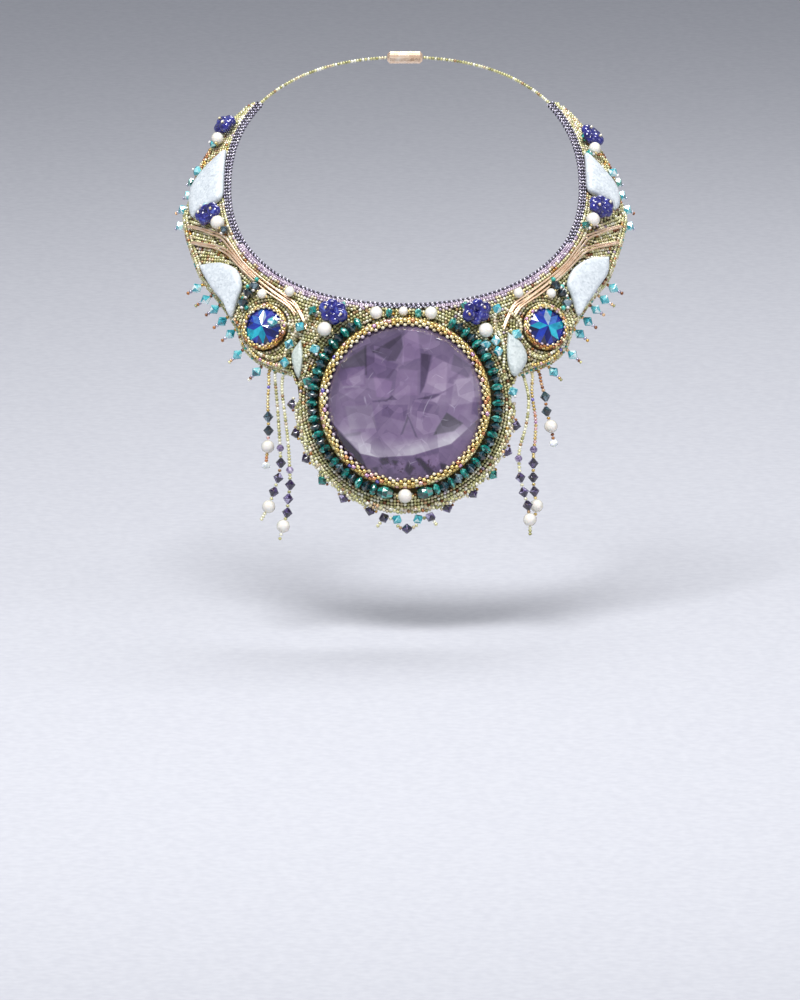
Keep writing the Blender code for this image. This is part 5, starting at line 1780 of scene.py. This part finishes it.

# Painted reflection of each crystal's facets, from the right round by the top: eight kites, then sixteen rim
# facets
RIVOLI_FACETS = {
    "left": (("mauve", "violet", "pearl", "sky", "royal", "cyan", "lagoon", "navy"),
             ("royal", "navy", "royal", "violet", "royal", "sky", "violet", "royal", "navy", "lagoon", "cyan",
              "royal", "navy", "ink", "royal", "navy")),
    "right": (("lagoon", "sky", "pearl", "royal", "lagoon", "royal", "navy", "cyan"),
              ("royal", "lagoon", "royal", "navy", "lagoon", "royal", "violet", "navy", "violet", "ink",
               "navy", "royal", "ink", "royal", "navy", "royal")),
}


@dataclass
class Rivoli(Piece):
    """One round pointed crystal, with kite facets that meet in the middle."""

    side: int
    word: str
    radius: float = RIVOLI_RADIUS
    height: float = 4.0 * MM
    girdle: float = 1.3 * MM

    @property
    def matrix(self) -> Matrix:
        """Return where the crystal sits."""
        place, normal = COLLAR.place(self.side * RIVOLI_TURN, RIVOLI_OUT, COLLAR.seat)
        return bib_matrix(place, normal)

    def build(self) -> None:
        """Cut the crystal, with each facet's painted reflection colour."""
        kites, rims = RIVOLI_FACETS[self.word]
        corners, faces, colours = [], [], []

        def ring(share: float, height: float, turn: float) -> Vector:
            """Return a corner by its share of the radius, its height and its turn."""
            swing = math.radians(turn)
            reach = self.radius * share
            return Vector((reach * math.cos(swing), reach * math.sin(swing), height))

        def facet(points: list[Vector], colour: str) -> None:
            """Add one flat facet in one of the painted reflection colours."""
            faces.append(tuple(range(len(corners), len(corners) + len(points))))
            corners.extend(points)
            colours.extend([linear(FACET_REFLECTION_COLOURS[colour])] * len(points))

        apex = Vector((0.0, 0.0, self.height))
        for kite in range(8):
            turn = 45.0 * kite
            left, right = (ring(0.52, self.height * 0.78, turn + side) for side in (-22.5, 22.5))
            rim = ring(0.94, self.girdle + 0.35 * MM, turn)
            facet([apex, left, rim, right], kites[kite])
            for half, (inner, side) in enumerate(((left, -22.5), (right, 22.5))):
                edge = ring(1.0, self.girdle, turn + side)
                foot = ring(1.0, self.girdle, turn)
                points = [inner, edge, foot, rim] if half == 0 else [rim, foot, edge, inner]
                facet(points, rims[2 * kite + half])
        for step in range(16):
            first, last = 22.5 * step, 22.5 * (step + 1)
            facet([ring(1.0, self.girdle, first), ring(1.0, 0.0, first), ring(1.0, 0.0, last),
                   ring(1.0, self.girdle, last)], "ink")
        facet([ring(1.0, 0.0, -22.5 * step) for step in range(16)], "ink")
        points = np.array([tuple(point) for point in corners])
        stone = mesh_object(f"blue_crystal_{self.word}", points, faces, False)
        stone.data.materials.append(self.finishes[Finish.RIVOLI])
        layer = stone.data.attributes.new("painted_facet_reflection", "FLOAT_COLOR", "POINT")
        layer.data.foreach_set("color", np.array(colours, np.float32).ravel())
        stone.data.transform(self.matrix)
        finish_piece(stone, (f"rivoli_{self.word}",))


@dataclass
class WhiteStones(Piece):
    """The domed white cabochons, each bedded in the seeds."""

    height: float = 3.0 * MM
    domes: tuple[tuple[float, float], ...] = (
        (1.0, 0.0), (1.0, 0.35), (0.985, 0.52), (0.94, 0.70), (0.86, 0.84), (0.74, 0.94), (0.58, 0.985),
        (0.36, 1.0), (0.14, 1.0))

    def build(self) -> None:
        """Grind each stone from its outline."""
        for name, (green, outline) in WHITE_STONES.items():
            corners = [Vector((turn, share, 0.0)) for turn, share in outline]
            loop = smooth_route(corners + [corners[0]], 6)[:-1]
            middle = sum(loop, Vector()) / len(loop)
            points = []
            for spread, rise in self.domes:
                for corner in loop:
                    spot = middle.lerp(corner, spread)
                    lift = COLLAR.seat + self.height * rise
                    points.append(tuple(COLLAR.wing_place(spot.x, spot.y, lift)[0]))
            faces = ring_faces(len(self.domes), len(loop), 0, True)
            stone = mesh_object(name.replace("white_stone", "white_cabochon"), np.array(points), faces, True)
            mesh = stone.data
            if sum(face.normal.dot(COLLAR.bib[2]) > 0 for face in mesh.polygons) < len(mesh.polygons) / 2:
                mesh.flip_normals()
            mesh.materials.append(self.finishes[Finish.HOWLITE])
            paint(mesh, "tone", np.full(len(points), green))
            finish_piece(stone, (name,))


# Glass petals of each cluster: rows of (turn in degrees, out as a share of the wing's width)
LAPIS_CLUSTERS = {
    "lapis_cluster_upper_left": ((-114.0, 0.26), (-111.5, 0.12)),
    "lapis_cluster_upper_right": ((109.6, 0.16), (107.2, 0.32)),
    "lapis_cluster_middle_left": ((-81.0, 0.42), (-79.5, 0.16)),
    "lapis_cluster_middle_right": ((84.3, 0.36), (80.9, 0.14)),
    "lapis_cluster_inner_left": ((-21.8, 0.20), (-17.3, 0.27)),
    "lapis_cluster_inner_right": ((21.8, 0.20), (17.3, 0.27)),
}


@dataclass
class LapisPetals(Piece):
    """Clusters of pressed glass petals with a seed at each heart."""

    petal: float = 6.2 * MM
    nested: float = 5.8 * MM

    def build(self) -> None:
        """Set the petals, the smaller ones between them that close the disc, and their seeds."""
        for index, (name, rows) in enumerate(LAPIS_CLUSTERS.items()):
            work = Beadwork(name.replace("lapis_cluster", "lapis_petals"), 71 + index)
            lift = COLLAR.seat + self.petal / 2
            spots = [COLLAR.wing_place(turn, share, lift) for turn, share in rows]
            way = (spots[1][0] - spots[0][0]).normalized()
            for end, (place, normal) in zip((-1, 1), spots):
                work.add(Bead.PETAL, Finish.LAPIS, place, way, normal, self.petal, self.petal)
                front = place + normal * self.petal * 0.40
                work.add(Bead.SEED, Finish.CREAM, front, way, normal, 1.1 * MM, 1.4 * MM)
                across = way.cross(normal)
                for turn in (-1, 1):
                    beside = place + (across * turn * 0.36 - way * end * 0.28 - normal * 0.06) * self.petal
                    work.add(Bead.PETAL, Finish.LAPIS, beside, across, normal, self.nested, self.nested)
            self.sew_on(work, "lapis_glass", name)


# Single pearls: (turn in degrees, out as a share of the wing's width, radius as a share of 3 mm)
PEARLS = {
    "pearl_upper_left": (-107.3, 0.23, 0.88),
    "pearl_upper_right": (103.0, 0.20, 0.88),
    "pearl_middle_left": (-74.6, 0.15, 1.0),
    "pearl_middle_right": (75.8, 0.14, 1.0),
    "pearl_wire_outer_left": (-42.7, 0.38, 0.70),
    "pearl_wire_outer_right": (43.7, 0.40, 0.70),
    "pearl_wire_inner_left": (-34.7, 0.11, 0.73),
    "pearl_wire_inner_right": (33.9, 0.12, 0.73),
    "pearl_inner_left": (-21.0, 0.58, 1.03),
    "pearl_inner_right": (21.0, 0.60, 1.03),
    "pearl_bar_left": (-7.2, 0.14, 0.90),
    "pearl_bar_right": (6.4, 0.14, 0.90),
    "pearl_bar_middle": (-0.3, 0.09, 0.66),
}


@dataclass
class Pearls(Piece):
    """The pearls that are sewn on one by one, each with a seed at its holes."""

    radius: float = 3.0 * MM
    seed_gap: float = 0.35 * MM
    seed_length: float = 0.9 * MM
    seed_width: float = 1.3 * MM

    def build(self) -> None:
        """Sew on the pearls."""
        places = {}
        for name, (turn, share, size) in PEARLS.items():
            radius = self.radius * size
            lift = COLLAR.seat + radius
            place, normal = COLLAR.wing_place(turn, share, lift)
            beside = COLLAR.wing_place(turn + 1.0, share, lift)[0]
            places[name] = (place, normal, beside - place, radius)
        lift = COLLAR.seat + self.radius
        reach = COLLAR.stone_radius + COLLAR.bezel_wall + 2 * COLLAR.clearance + self.radius
        places["pearl_bottom"] = (COLLAR.bib_place(0.0, reach, lift), COLLAR.bib[2], RIGHT, self.radius)
        for index, (name, (place, normal, way, radius)) in enumerate(places.items()):
            work = Beadwork(name.replace("pearl", "round_pearl"), 81 + index)
            work.add(Bead.ROUND, Finish.NACRE, place, way, normal, 2 * radius, 2 * radius)
            way = way.normalized()
            for turn in (-1, 1):
                spot = place + way * turn * (radius + self.seed_gap) - normal * 0.2 * MM
                work.add(Bead.SEED, Finish.GOLD, spot, way, normal, self.seed_length, self.seed_width, 0.3)
            self.sew_on(work, "pearl", name)


# Bent wires of one wing: rows of (turn in degrees, out as a share of the wing's width)
WIRES = {
    "wire_inner": ((82.0, 0.79), (78.2, 0.55), (74.2, 0.36), (69.5, 0.20), (63.0, 0.16), (56.5, 0.17),
                   (51.2, 0.17), (46.5, 0.18), (41.2, 0.20), (36.5, 0.23), (31.8, 0.28), (28.6, 0.42),
                   (26.0, 0.62)),
    "wire_outer": ((76.0, 0.80), (72.5, 0.60), (68.0, 0.38), (63.2, 0.26), (56.5, 0.24), (51.4, 0.24),
                   (47.0, 0.25), (41.8, 0.27), (37.0, 0.30), (33.0, 0.35), (30.4, 0.44)),
}


@dataclass
class BentWires(Piece):
    """The rose gold wires of both wings: each is two thin wires laid side by side."""

    gauge: float = 0.84 * MM
    sides: int = 10

    def tube(self, route: list[Vector], ups: list[Vector], points: list, faces: list) -> None:
        """Sweep one round wire along a route, with closed ends."""
        first = len(points)
        for index, spot in enumerate(route):
            way = route[min(index + 1, len(route) - 1)] - route[max(index - 1, 0)]
            way.normalize()
            side = way.cross(ups[index]).normalized()
            up = side.cross(way)
            for step in range(self.sides):
                swing = 2 * math.pi * step / self.sides
                points.append(tuple(spot + (side * math.cos(swing) + up * math.sin(swing)) * self.gauge / 2))
        faces += ring_faces(len(route), self.sides, first, True)

    def build(self) -> None:
        """Bend the wires of both wings."""
        for side, word in SIDES:
            for name, rows in WIRES.items():
                knots = [Vector((side * turn, share * COLLAR.wing_width, 0.0)) for turn, share in rows]
                plan = smooth_route(knots, 8)
                points, faces = [], []
                for strand in (-1, 1):
                    route, ups = [], []
                    for index, knot in enumerate(plan):
                        share = index / (len(plan) - 1)
                        apart = strand * self.gauge * (0.52 + 0.35 * math.sin(share * 7.0) ** 2)
                        lift = COLLAR.seat + self.gauge * (0.6 + 0.25 * math.sin(share * 9))
                        spot, normal = COLLAR.place(knot.x, knot.y + apart, lift)
                        route.append(spot)
                        ups.append(normal)
                    self.tube(route, ups, points, faces)
                wire = mesh_object(f"{name}_pair_{word}", np.array(points), faces, True)
                wire.data.set_sharp_from_angle(angle=math.radians(50))
                wire.data.materials.append(self.finishes[Finish.WIRE])
                finish_piece(wire, (f"{name}_{word}",))


# Sewn branches on the bib's shoulders: rows of (turn, out as a share of the wing's width, bead or none)
BRANCHES = {
    "branch_left": ((-25.6, 0.30, TEAL), (-26.6, 0.47, None), (-27.6, 0.64, AQUA),
                    (-28.5, 0.82, None), (-28.7, 1.00, AQUA), (-28.9, 1.16, None),
                    (-28.2, 1.34, AQUA)),
    "branch_right": ((25.6, 0.26, AQUA), (24.2, 0.42, None), (22.9, 0.82, AQUA),
                     (22.8, 1.02, AQUA), (22.6, 1.18, None)),
}


@dataclass
class Branches(Piece):
    """Short sewn branches of aqua crystals and pale seeds."""

    def build(self) -> None:
        """Sew both branches."""
        for index, (name, rows) in enumerate(BRANCHES.items()):
            work = Beadwork(name.replace("branch", "crystal_branch"), 101 + index)
            lift = COLLAR.seat + BICONE / 2
            stops = [(COLLAR.wing_place(turn, share, lift)[0], charm) for turn, share, charm in rows]
            Thread(Finish.CREAM).string(work, stops, COLLAR.bib[2])
            self.sew_on(work, "aqua_crystal", name)


SMALL = Charm(Bead.RONDELLE, Finish.MAUVE, 2.6 * MM, 3.2 * MM)
PEARL = Charm(Bead.ROUND, Finish.NACRE, 5.5 * MM, 5.5 * MM)
COIN = Charm(Bead.COIN, Finish.MOON, 3.0 * MM, 3.6 * MM)

# Routes of the hanging strings: knot's turn, forward depth, seeds, then rows of (across, drop, bead)
STRANDS = {
    "strand_1_left": (-31.7, 0.0, Finish.GOLD, (
        (0.000, 0.07, None), (-0.006, 0.17, None), (-0.004, 0.272, MONTANA),
        (-0.002, 0.356, MONTANA), (-0.006, 0.453, PEARL), (-0.014, 0.525, None),
        (-0.018, 0.568, COIN))),
    "strand_2_left": (-30.1, 2.2 * MM, Finish.OLIVE, (
        (0.016, 0.20, None), (0.027, 0.36, None), (0.033, 0.453, SMALL), (0.037, 0.543, PLUM),
        (0.022, 0.634, PLUM), (-0.006, 0.719, PLUM), (-0.036, 0.808, PEARL),
        (-0.070, 0.868, None), (-0.084, 0.893, None))),
    "strand_3_left": (-28.0, 4.4 * MM, Finish.OLIVE, (
        (-0.004, 0.09, None), (0.014, 0.24, None), (0.034, 0.42, None), (0.043, 0.574, SMALL),
        (0.046, 0.664, PLUM), (0.034, 0.748, PLUM),
        (0.028, 0.833, PLUM), (0.004, 0.914, PEARL), (-0.012, 0.972, None),
        (-0.017, 1.002, None))),
    "strand_1_right": (27.2, 5.8 * MM, Finish.OLIVE, (
        (0.027, 0.14, None), (0.010, 0.30, None), (-0.024, 0.42, None), (-0.035, 0.501, SMALL),
        (-0.030, 0.562, None), (-0.024, 0.616, PLUM), (-0.004, 0.704, PLUM),
        (0.020, 0.785, PLUM), (0.033, 0.870, PEARL), (0.034, 0.930, None),
        (0.034, 0.966, None))),
    "strand_2_right": (29.4, 0.0, Finish.GOLD, (
        (-0.004, 0.11, None), (0.018, 0.27, None), (0.014, 0.40, None), (0.006, 0.453, SMALL),
        (0.004, 0.537, PLUM), (0.003, 0.622, PLUM),
        (0.010, 0.707, PLUM), (0.024, 0.794, PEARL), (0.015, 0.852, None),
        (0.012, 0.881, None))),
    "strand_3_right": (31.2, 0.0, Finish.COPPER, (
        (0.014, 0.07, None), (0.036, 0.145, MONTANA), (0.044, 0.234, MONTANA),
        (0.070, 0.325, PEARL), (0.082, 0.390, None), (0.088, 0.428, COIN))),
}


@dataclass
class Strands(Piece):
    """The hanging strands of seeds, crystals and pearls beside the bib."""

    length: float = 69.0 * MM
    lean: float = 16.0
    seed_radius: float = 0.7 * MM

    def build(self) -> None:
        """String all six strands."""
        lean = math.radians(self.lean)
        down = Vector((0.0, -math.sin(lean), -math.cos(lean)))
        forward = Vector((0.0, -math.cos(lean), math.sin(lean)))
        for index, (name, (turn, depth, seeds, rows)) in enumerate(STRANDS.items()):
            out = COLLAR.width(turn) + COLLAR.clearance * 2 + self.seed_radius
            knot = COLLAR.place(turn, out, COLLAR.backing / 2)[0]
            stops = [(COLLAR.place(turn, out - 2.4 * MM, -0.4 * MM)[0], None), (knot, None)]
            for across, drop, charm in rows:
                place = knot + (RIGHT * across + down * drop) * self.length
                stops.append((place + forward * depth * min(1.0, drop / 0.2), charm))
            work = Beadwork(name.replace("strand", "hanging_strand"), 111 + index)
            Thread(seeds).string(work, stops, forward)
            self.sew_on(work, "dark_crystal", name)


# The fringe under the bib: (angle from straight down, drop as a share of a bicone's radius, bead)
FRINGE = (
    (-12.8, 3.1, None),
    (-10.4, 1.15, PLUM),
    (-4.0, 1.15, AQUA),
    (-3.0, 2.5, None),
    (0.9, 2.8, PLUM),
    (5.0, 2.4, None),
    (6.4, 1.15, AQUA),
    (12.6, 1.15, PLUM),
    (14.6, 2.9, None),
)


@dataclass
class Fringe(Piece):
    """The short fringe that swings under the bib."""

    bicone_radius: float = 2.3 * MM

    def build(self) -> None:
        """String the fringe, its bicones lying along the thread where they do in the real one."""
        rim = COLLAR.bib_radius + COLLAR.clearance
        stops = [(COLLAR.bib_place(angle, rim + drop * self.bicone_radius, COLLAR.backing / 2), charm)
                 for angle, drop, charm in FRINGE]
        work = Beadwork("bib_fringe", 121)
        Thread(Finish.OLIVE).string(work, stops, COLLAR.bib[2])
        self.sew_on(work, "dark_crystal", "bottom_fringe")


@dataclass
class BackStrings(Piece):
    """The single strings of olive seeds that close the loop behind the neck."""

    clasp_length: float = 15.0 * MM
    steps: int = 11

    def build(self) -> None:
        """String both sides up to the clasp."""
        lift = COLLAR.backing / 2
        out = (COLLAR.width(COLLAR.strap_turn) - COLLAR.edge) / 2
        place = COLLAR.place(180.0, out, lift)[0]
        half = self.clasp_length / 2 + COLLAR.clearance
        end_turn = 180.0 - math.degrees(half / COLLAR.half_width)
        for side, word in SIDES:
            route = []
            for step in range(self.steps + 1):
                turn = COLLAR.strap_turn + 0.5 + (end_turn - COLLAR.strap_turn) * step / self.steps
                route.append(COLLAR.place(side * turn, out, lift)[0])
            route[-1] = place + RIGHT * side * half
            work = Beadwork(f"seed_string_{word}", 131 + side)
            for centre, way in walk(smooth_route(route, 4), 1.2 * MM):
                work.add(Bead.SEED, Finish.OLIVE, centre, way, Vector((0.0, 0.3, 1.0)), 1.18 * MM, 1.5 * MM)
            self.sew_on(work, "olive_seeds", f"back_string_{word}")


# Loose crystals sewn into the fields: (turn, out in mm, bead, finish, length and width in mm)
LOOSE = (
    *((side * turn, out, Bead.BICONE, Finish.MONTANA, 4.0, 4.2)
      for side in (-1, 1) for turn, out in ((46.7, 7.8), (47.0, 11.8), (46.5, 16.4))),
    *((side * turn, out, Bead.ROUND, Finish.TURQUOISE, 1.9, 2.1)
      for side in (-1, 1) for turn, out in ((47.7, 5.2), (48.7, 9.8), (47.6, 14.9), (44.9, 17.3))),
    (-22.2, 22.8, Bead.BICONE, Finish.AQUA, 4.2, 4.6),
    (-21.8, 36.8, Bead.BICONE, Finish.TEAL, 4.2, 4.6),
    (28.6, 18.8, Bead.BICONE, Finish.AQUA, 4.2, 4.6),
    (20.1, 19.9, Bead.BICONE, Finish.AQUA, 4.0, 4.4),
    (23.4, 42.0, Bead.BICONE, Finish.AQUA, 4.0, 4.4),
    (-84.2, 8.4, Bead.BICONE, Finish.AQUA, 3.4, 3.6),
    (-71.2, 2.3, Bead.BICONE, Finish.MONTANA, 3.4, 3.6),
    (73.0, 1.6, Bead.BICONE, Finish.TEAL, 3.4, 3.6),
    (-17.4, 2.0, Bead.BICONE, Finish.TEAL, 3.4, 3.6),
    (16.5, 1.8, Bead.BICONE, Finish.TEAL, 3.4, 3.6),
    (-113.9, 1.6, Bead.BICONE, Finish.MONTANA, 3.2, 3.4),
    (-106.5, 7.8, Bead.BICONE, Finish.AQUA, 3.6, 3.8),
    (107.5, 1.8, Bead.BICONE, Finish.TEAL, 3.2, 3.4),
    (100.6, 1.6, Bead.BICONE, Finish.TEAL, 3.2, 3.4),
    (-97.6, 13.2, Bead.BICONE, Finish.AQUA, 3.8, 4.2),
    (97.0, 13.2, Bead.BICONE, Finish.AQUA, 3.8, 4.2),
    (-3.7, 3.0, Bead.RONDELLE, Finish.TEAL, 2.6, 4.0),
    (3.0, 3.0, Bead.RONDELLE, Finish.TEAL, 2.6, 4.0),
)


@dataclass
class LooseCrystals(Piece):
    """Single crystals and round turquoise beads sewn among the seeds."""

    slope: float = 0.9
    seed_length: float = 1.1 * MM
    seed_width: float = 1.45 * MM

    def build(self) -> None:
        """Sew each crystal on with a pale seed beside it."""
        work = Beadwork("sewn_crystals", 141)
        for turn, out, bead, finish, length, width in LOOSE:
            lift = COLLAR.seat + width * MM * 0.45
            place, normal = COLLAR.place(turn, out * MM, lift)
            way = COLLAR.place(turn + 0.5, out * MM, lift)[0] - place
            if bead is not Bead.BICONE:
                work.add(bead, finish, place, way, normal, length * MM, width * MM)
                continue
            across = way.normalized().cross(normal)
            slope = work.chance.uniform(-self.slope, self.slope)
            hole = (across + way.normalized() * slope + normal * 0.35).normalized()
            work.add(bead, finish, place, hole, normal, length * MM, width * 1.08 * MM)
            for end in (-1, 1):
                tip = place + hole * end * (length / 2 + 0.45) * MM
                seed = Finish.WHITE if end > 0 else Finish.OLIVE
                work.add(Bead.SEED, seed, tip, hole, normal, self.seed_length, self.seed_width)
        self.sew_on(work, "aqua_crystal")


# Raised strings of seeds over the bib's shoulders: finish, then rows of (turn, out and lift in mm, bead)
VINES = (
    (Finish.CREAM, ((-34.6, 17.2, 8.7, AQUA), (-31.6, 15.6, 6.0, None),
                    (-29.2, 15.4, 4.6, None), (-28.2, 18.2, 4.4, None), (-28.4, 21.0, 4.4, None))),
    (Finish.OLIVE, ((-28.0, 24.6, 4.4, None), (-26.4, 27.4, 4.8, None), (-24.4, 27.0, 4.8, None),
                    (-23.0, 24.8, 4.4, None))),
    (Finish.OLIVE, ((-40.0, 28.6, 4.2, None), (-37.0, 30.8, 4.5, None), (-33.5, 31.4, 4.7, None),
                    (-30.6, 30.4, 4.5, None), (-28.8, 28.4, 4.2, None))),
    (Finish.GOLD, ((-38.4, 31.4, 4.1, None), (-35.4, 33.2, 4.3, None), (-32.0, 33.6, 4.3, None),
                   (-29.0, 33.0, 4.1, None))),
    (Finish.CREAM, ((-24.2, 12.6, 4.2, None), (-22.6, 15.4, 4.6, None), (-22.4, 18.6, 4.4, None))),
    (Finish.OLIVE, ((40.0, 28.6, 4.2, None), (37.0, 30.8, 4.5, None), (33.5, 31.4, 4.7, None),
                    (31.2, 30.0, 4.5, None), (30.2, 27.0, 4.2, None))),
    (Finish.GOLD, ((38.4, 31.4, 4.1, None), (35.4, 33.2, 4.3, None), (32.0, 33.6, 4.3, None),
                   (29.4, 33.0, 4.1, None))),
    (Finish.OLIVE, ((24.0, 11.4, 4.3, None), (24.2, 16.0, 4.7, None), (24.6, 21.0, 4.7, None),
                    (24.0, 26.0, 4.7, None), (23.0, 31.0, 4.5, None), (22.6, 36.0, 4.3, None))),
    (Finish.CREAM, ((28.4, 7.2, 4.3, None), (30.4, 12.0, 4.6, None), (30.6, 16.6, 4.6, None),
                    (28.6, 21.0, 4.3, None))),
)


@dataclass
class Vines(Piece):
    """Raised strings of seeds that curl over the bib's shoulders."""

    def build(self) -> None:
        """Couch each string along its route."""
        work = Beadwork("sewn_vines", 151)
        for finish, rows in VINES:
            stops = [(COLLAR.place(turn, out * MM, lift * MM)[0], charm) for turn, out, lift, charm in rows]
            Thread(finish).string(work, stops, COLLAR.bib[2])
        self.sew_on(work, "olive_seeds")


@dataclass
class Studio(Piece):
    """Pale flat floor, soft lights and the camera at the photograph's angle."""

    elevation: float = 10.0
    distance: float = 5.0
    frame_height: float = 416.7 * MM
    target: tuple[float, float, float] = (-0.0021, -0.0820, -0.1188)
    floor_level: float = -0.175
    floor_reach: float = 9.0

    def build_floor(self) -> None:
        """Lay a flat floor that reaches beyond the picture from every side."""
        corners = ((-1, -1), (1, -1), (1, 1), (-1, 1))
        points = [(self.floor_reach * right, self.floor_reach * back, self.floor_level)
                  for right, back in corners]
        floor = mesh_object("studio_floor", np.array(points), [(0, 1, 2, 3)], True)
        floor.data.materials.append(self.finishes[Finish.FLOOR])

    def build_light(self, name: str, azimuth: float, height: float, far: float, size: float,
                    power: float) -> None:
        """Hang one soft square light that looks at the necklace."""
        light = bpy.data.lights.new(name, "AREA")
        light.size = size
        light.energy = power
        made = bpy.data.objects.new(name, light)
        swing, rise = math.radians(azimuth), math.radians(height)
        away = Vector((math.sin(swing) * math.cos(rise), -math.cos(swing) * math.cos(rise), math.sin(rise)))
        focus = Vector(self.target)
        made.location = focus + away * far
        made.rotation_mode = "QUATERNION"
        made.rotation_quaternion = (-away).to_track_quat("-Z", "Y")
        bpy.context.scene.collection.objects.link(made)

    def build(self) -> None:
        """Set the floor, the lights, the room's own light and the camera."""
        self.build_floor()
        self.build_light("key", -24.0, 66.0, 1.3, 0.55, 17.0)
        self.build_light("fill", 55.0, 25.0, 1.6, 0.9, 5.5)
        self.build_light("rim", 165.0, 52.0, 1.5, 0.6, 9.0)
        world = bpy.data.worlds.new("studio_room")
        world.use_nodes = True
        world.node_tree.nodes["Background"].inputs[0].default_value = linear("#c9ccd4")
        world.node_tree.nodes["Background"].inputs[1].default_value = 0.62
        bpy.context.scene.world = world
        bpy.context.scene.view_settings.view_transform = "Standard"
        lens = bpy.data.cameras.new("camera")
        lens.sensor_width = 36.0
        lens.lens = 36.0 * self.distance / self.frame_height
        lens.clip_start = 0.1
        lens.clip_end = 50.0
        camera = bpy.data.objects.new("camera", lens)
        rise = math.radians(self.elevation)
        way = Vector((0.0, math.cos(rise), -math.sin(rise)))
        camera.location = Vector(self.target) - way * self.distance
        camera.rotation_mode = "QUATERNION"
        camera.rotation_quaternion = way.to_track_quat("-Z", "Y")
        bpy.context.scene.collection.objects.link(camera)
        bpy.context.scene.camera = camera


def main() -> None:
    """Dress the frame and build every piece in order."""
    logging.basicConfig(level=logging.INFO, format="%(name)s: %(message)s")
    finishes = all_finishes()
    Studio(finishes).build()
    for name, finish in (("collar_backing", Finish.SUEDE), ("clasp", Finish.WIRE)):
        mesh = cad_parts[name].data
        mesh.materials.clear()
        mesh.materials.append(finishes[finish])
    SeedFields(finishes).build()
    NeckEdging(finishes).build()
    for side, word in SIDES:
        WingEdge(finishes, side, word).build()
        CrystalHalo(finishes, side, word).build()
        rivoli = Rivoli(finishes, side, word)
        rivoli.build()
        PeyoteBezel(finishes, f"blue_crystal_bezel_{word}", f"rivoli_bezel_{word}", rivoli.matrix,
                    RIVOLI_RADIUS, 1.3 * MM, RIVOLI_WALL, 2.6 * MM, 0.6 * MM, 1.25 * MM, 1.3 * MM,
                    Finish.COPPER).build()
    BibEdge(finishes).build()
    Amethyst(finishes).build()
    matrix = bib_matrix(COLLAR.bib_place(0.0, 0.0, COLLAR.bed), COLLAR.bib[2])
    PeyoteBezel(finishes, "amethyst_setting", "amethyst_bezel", matrix, COLLAR.stone_radius, 2.6 * MM,
                COLLAR.bezel_wall, 4.4 * MM, 0.9 * MM, 1.55 * MM, 1.75 * MM).build()
    WhiteStones(finishes).build()
    LapisPetals(finishes).build()
    Pearls(finishes).build()
    BentWires(finishes).build()
    Branches(finishes).build()
    Strands(finishes).build()
    Fringe(finishes).build()
    BackStrings(finishes).build()
    LooseCrystals(finishes).build()
    Vines(finishes).build()


if __name__ == "__main__":
    main()
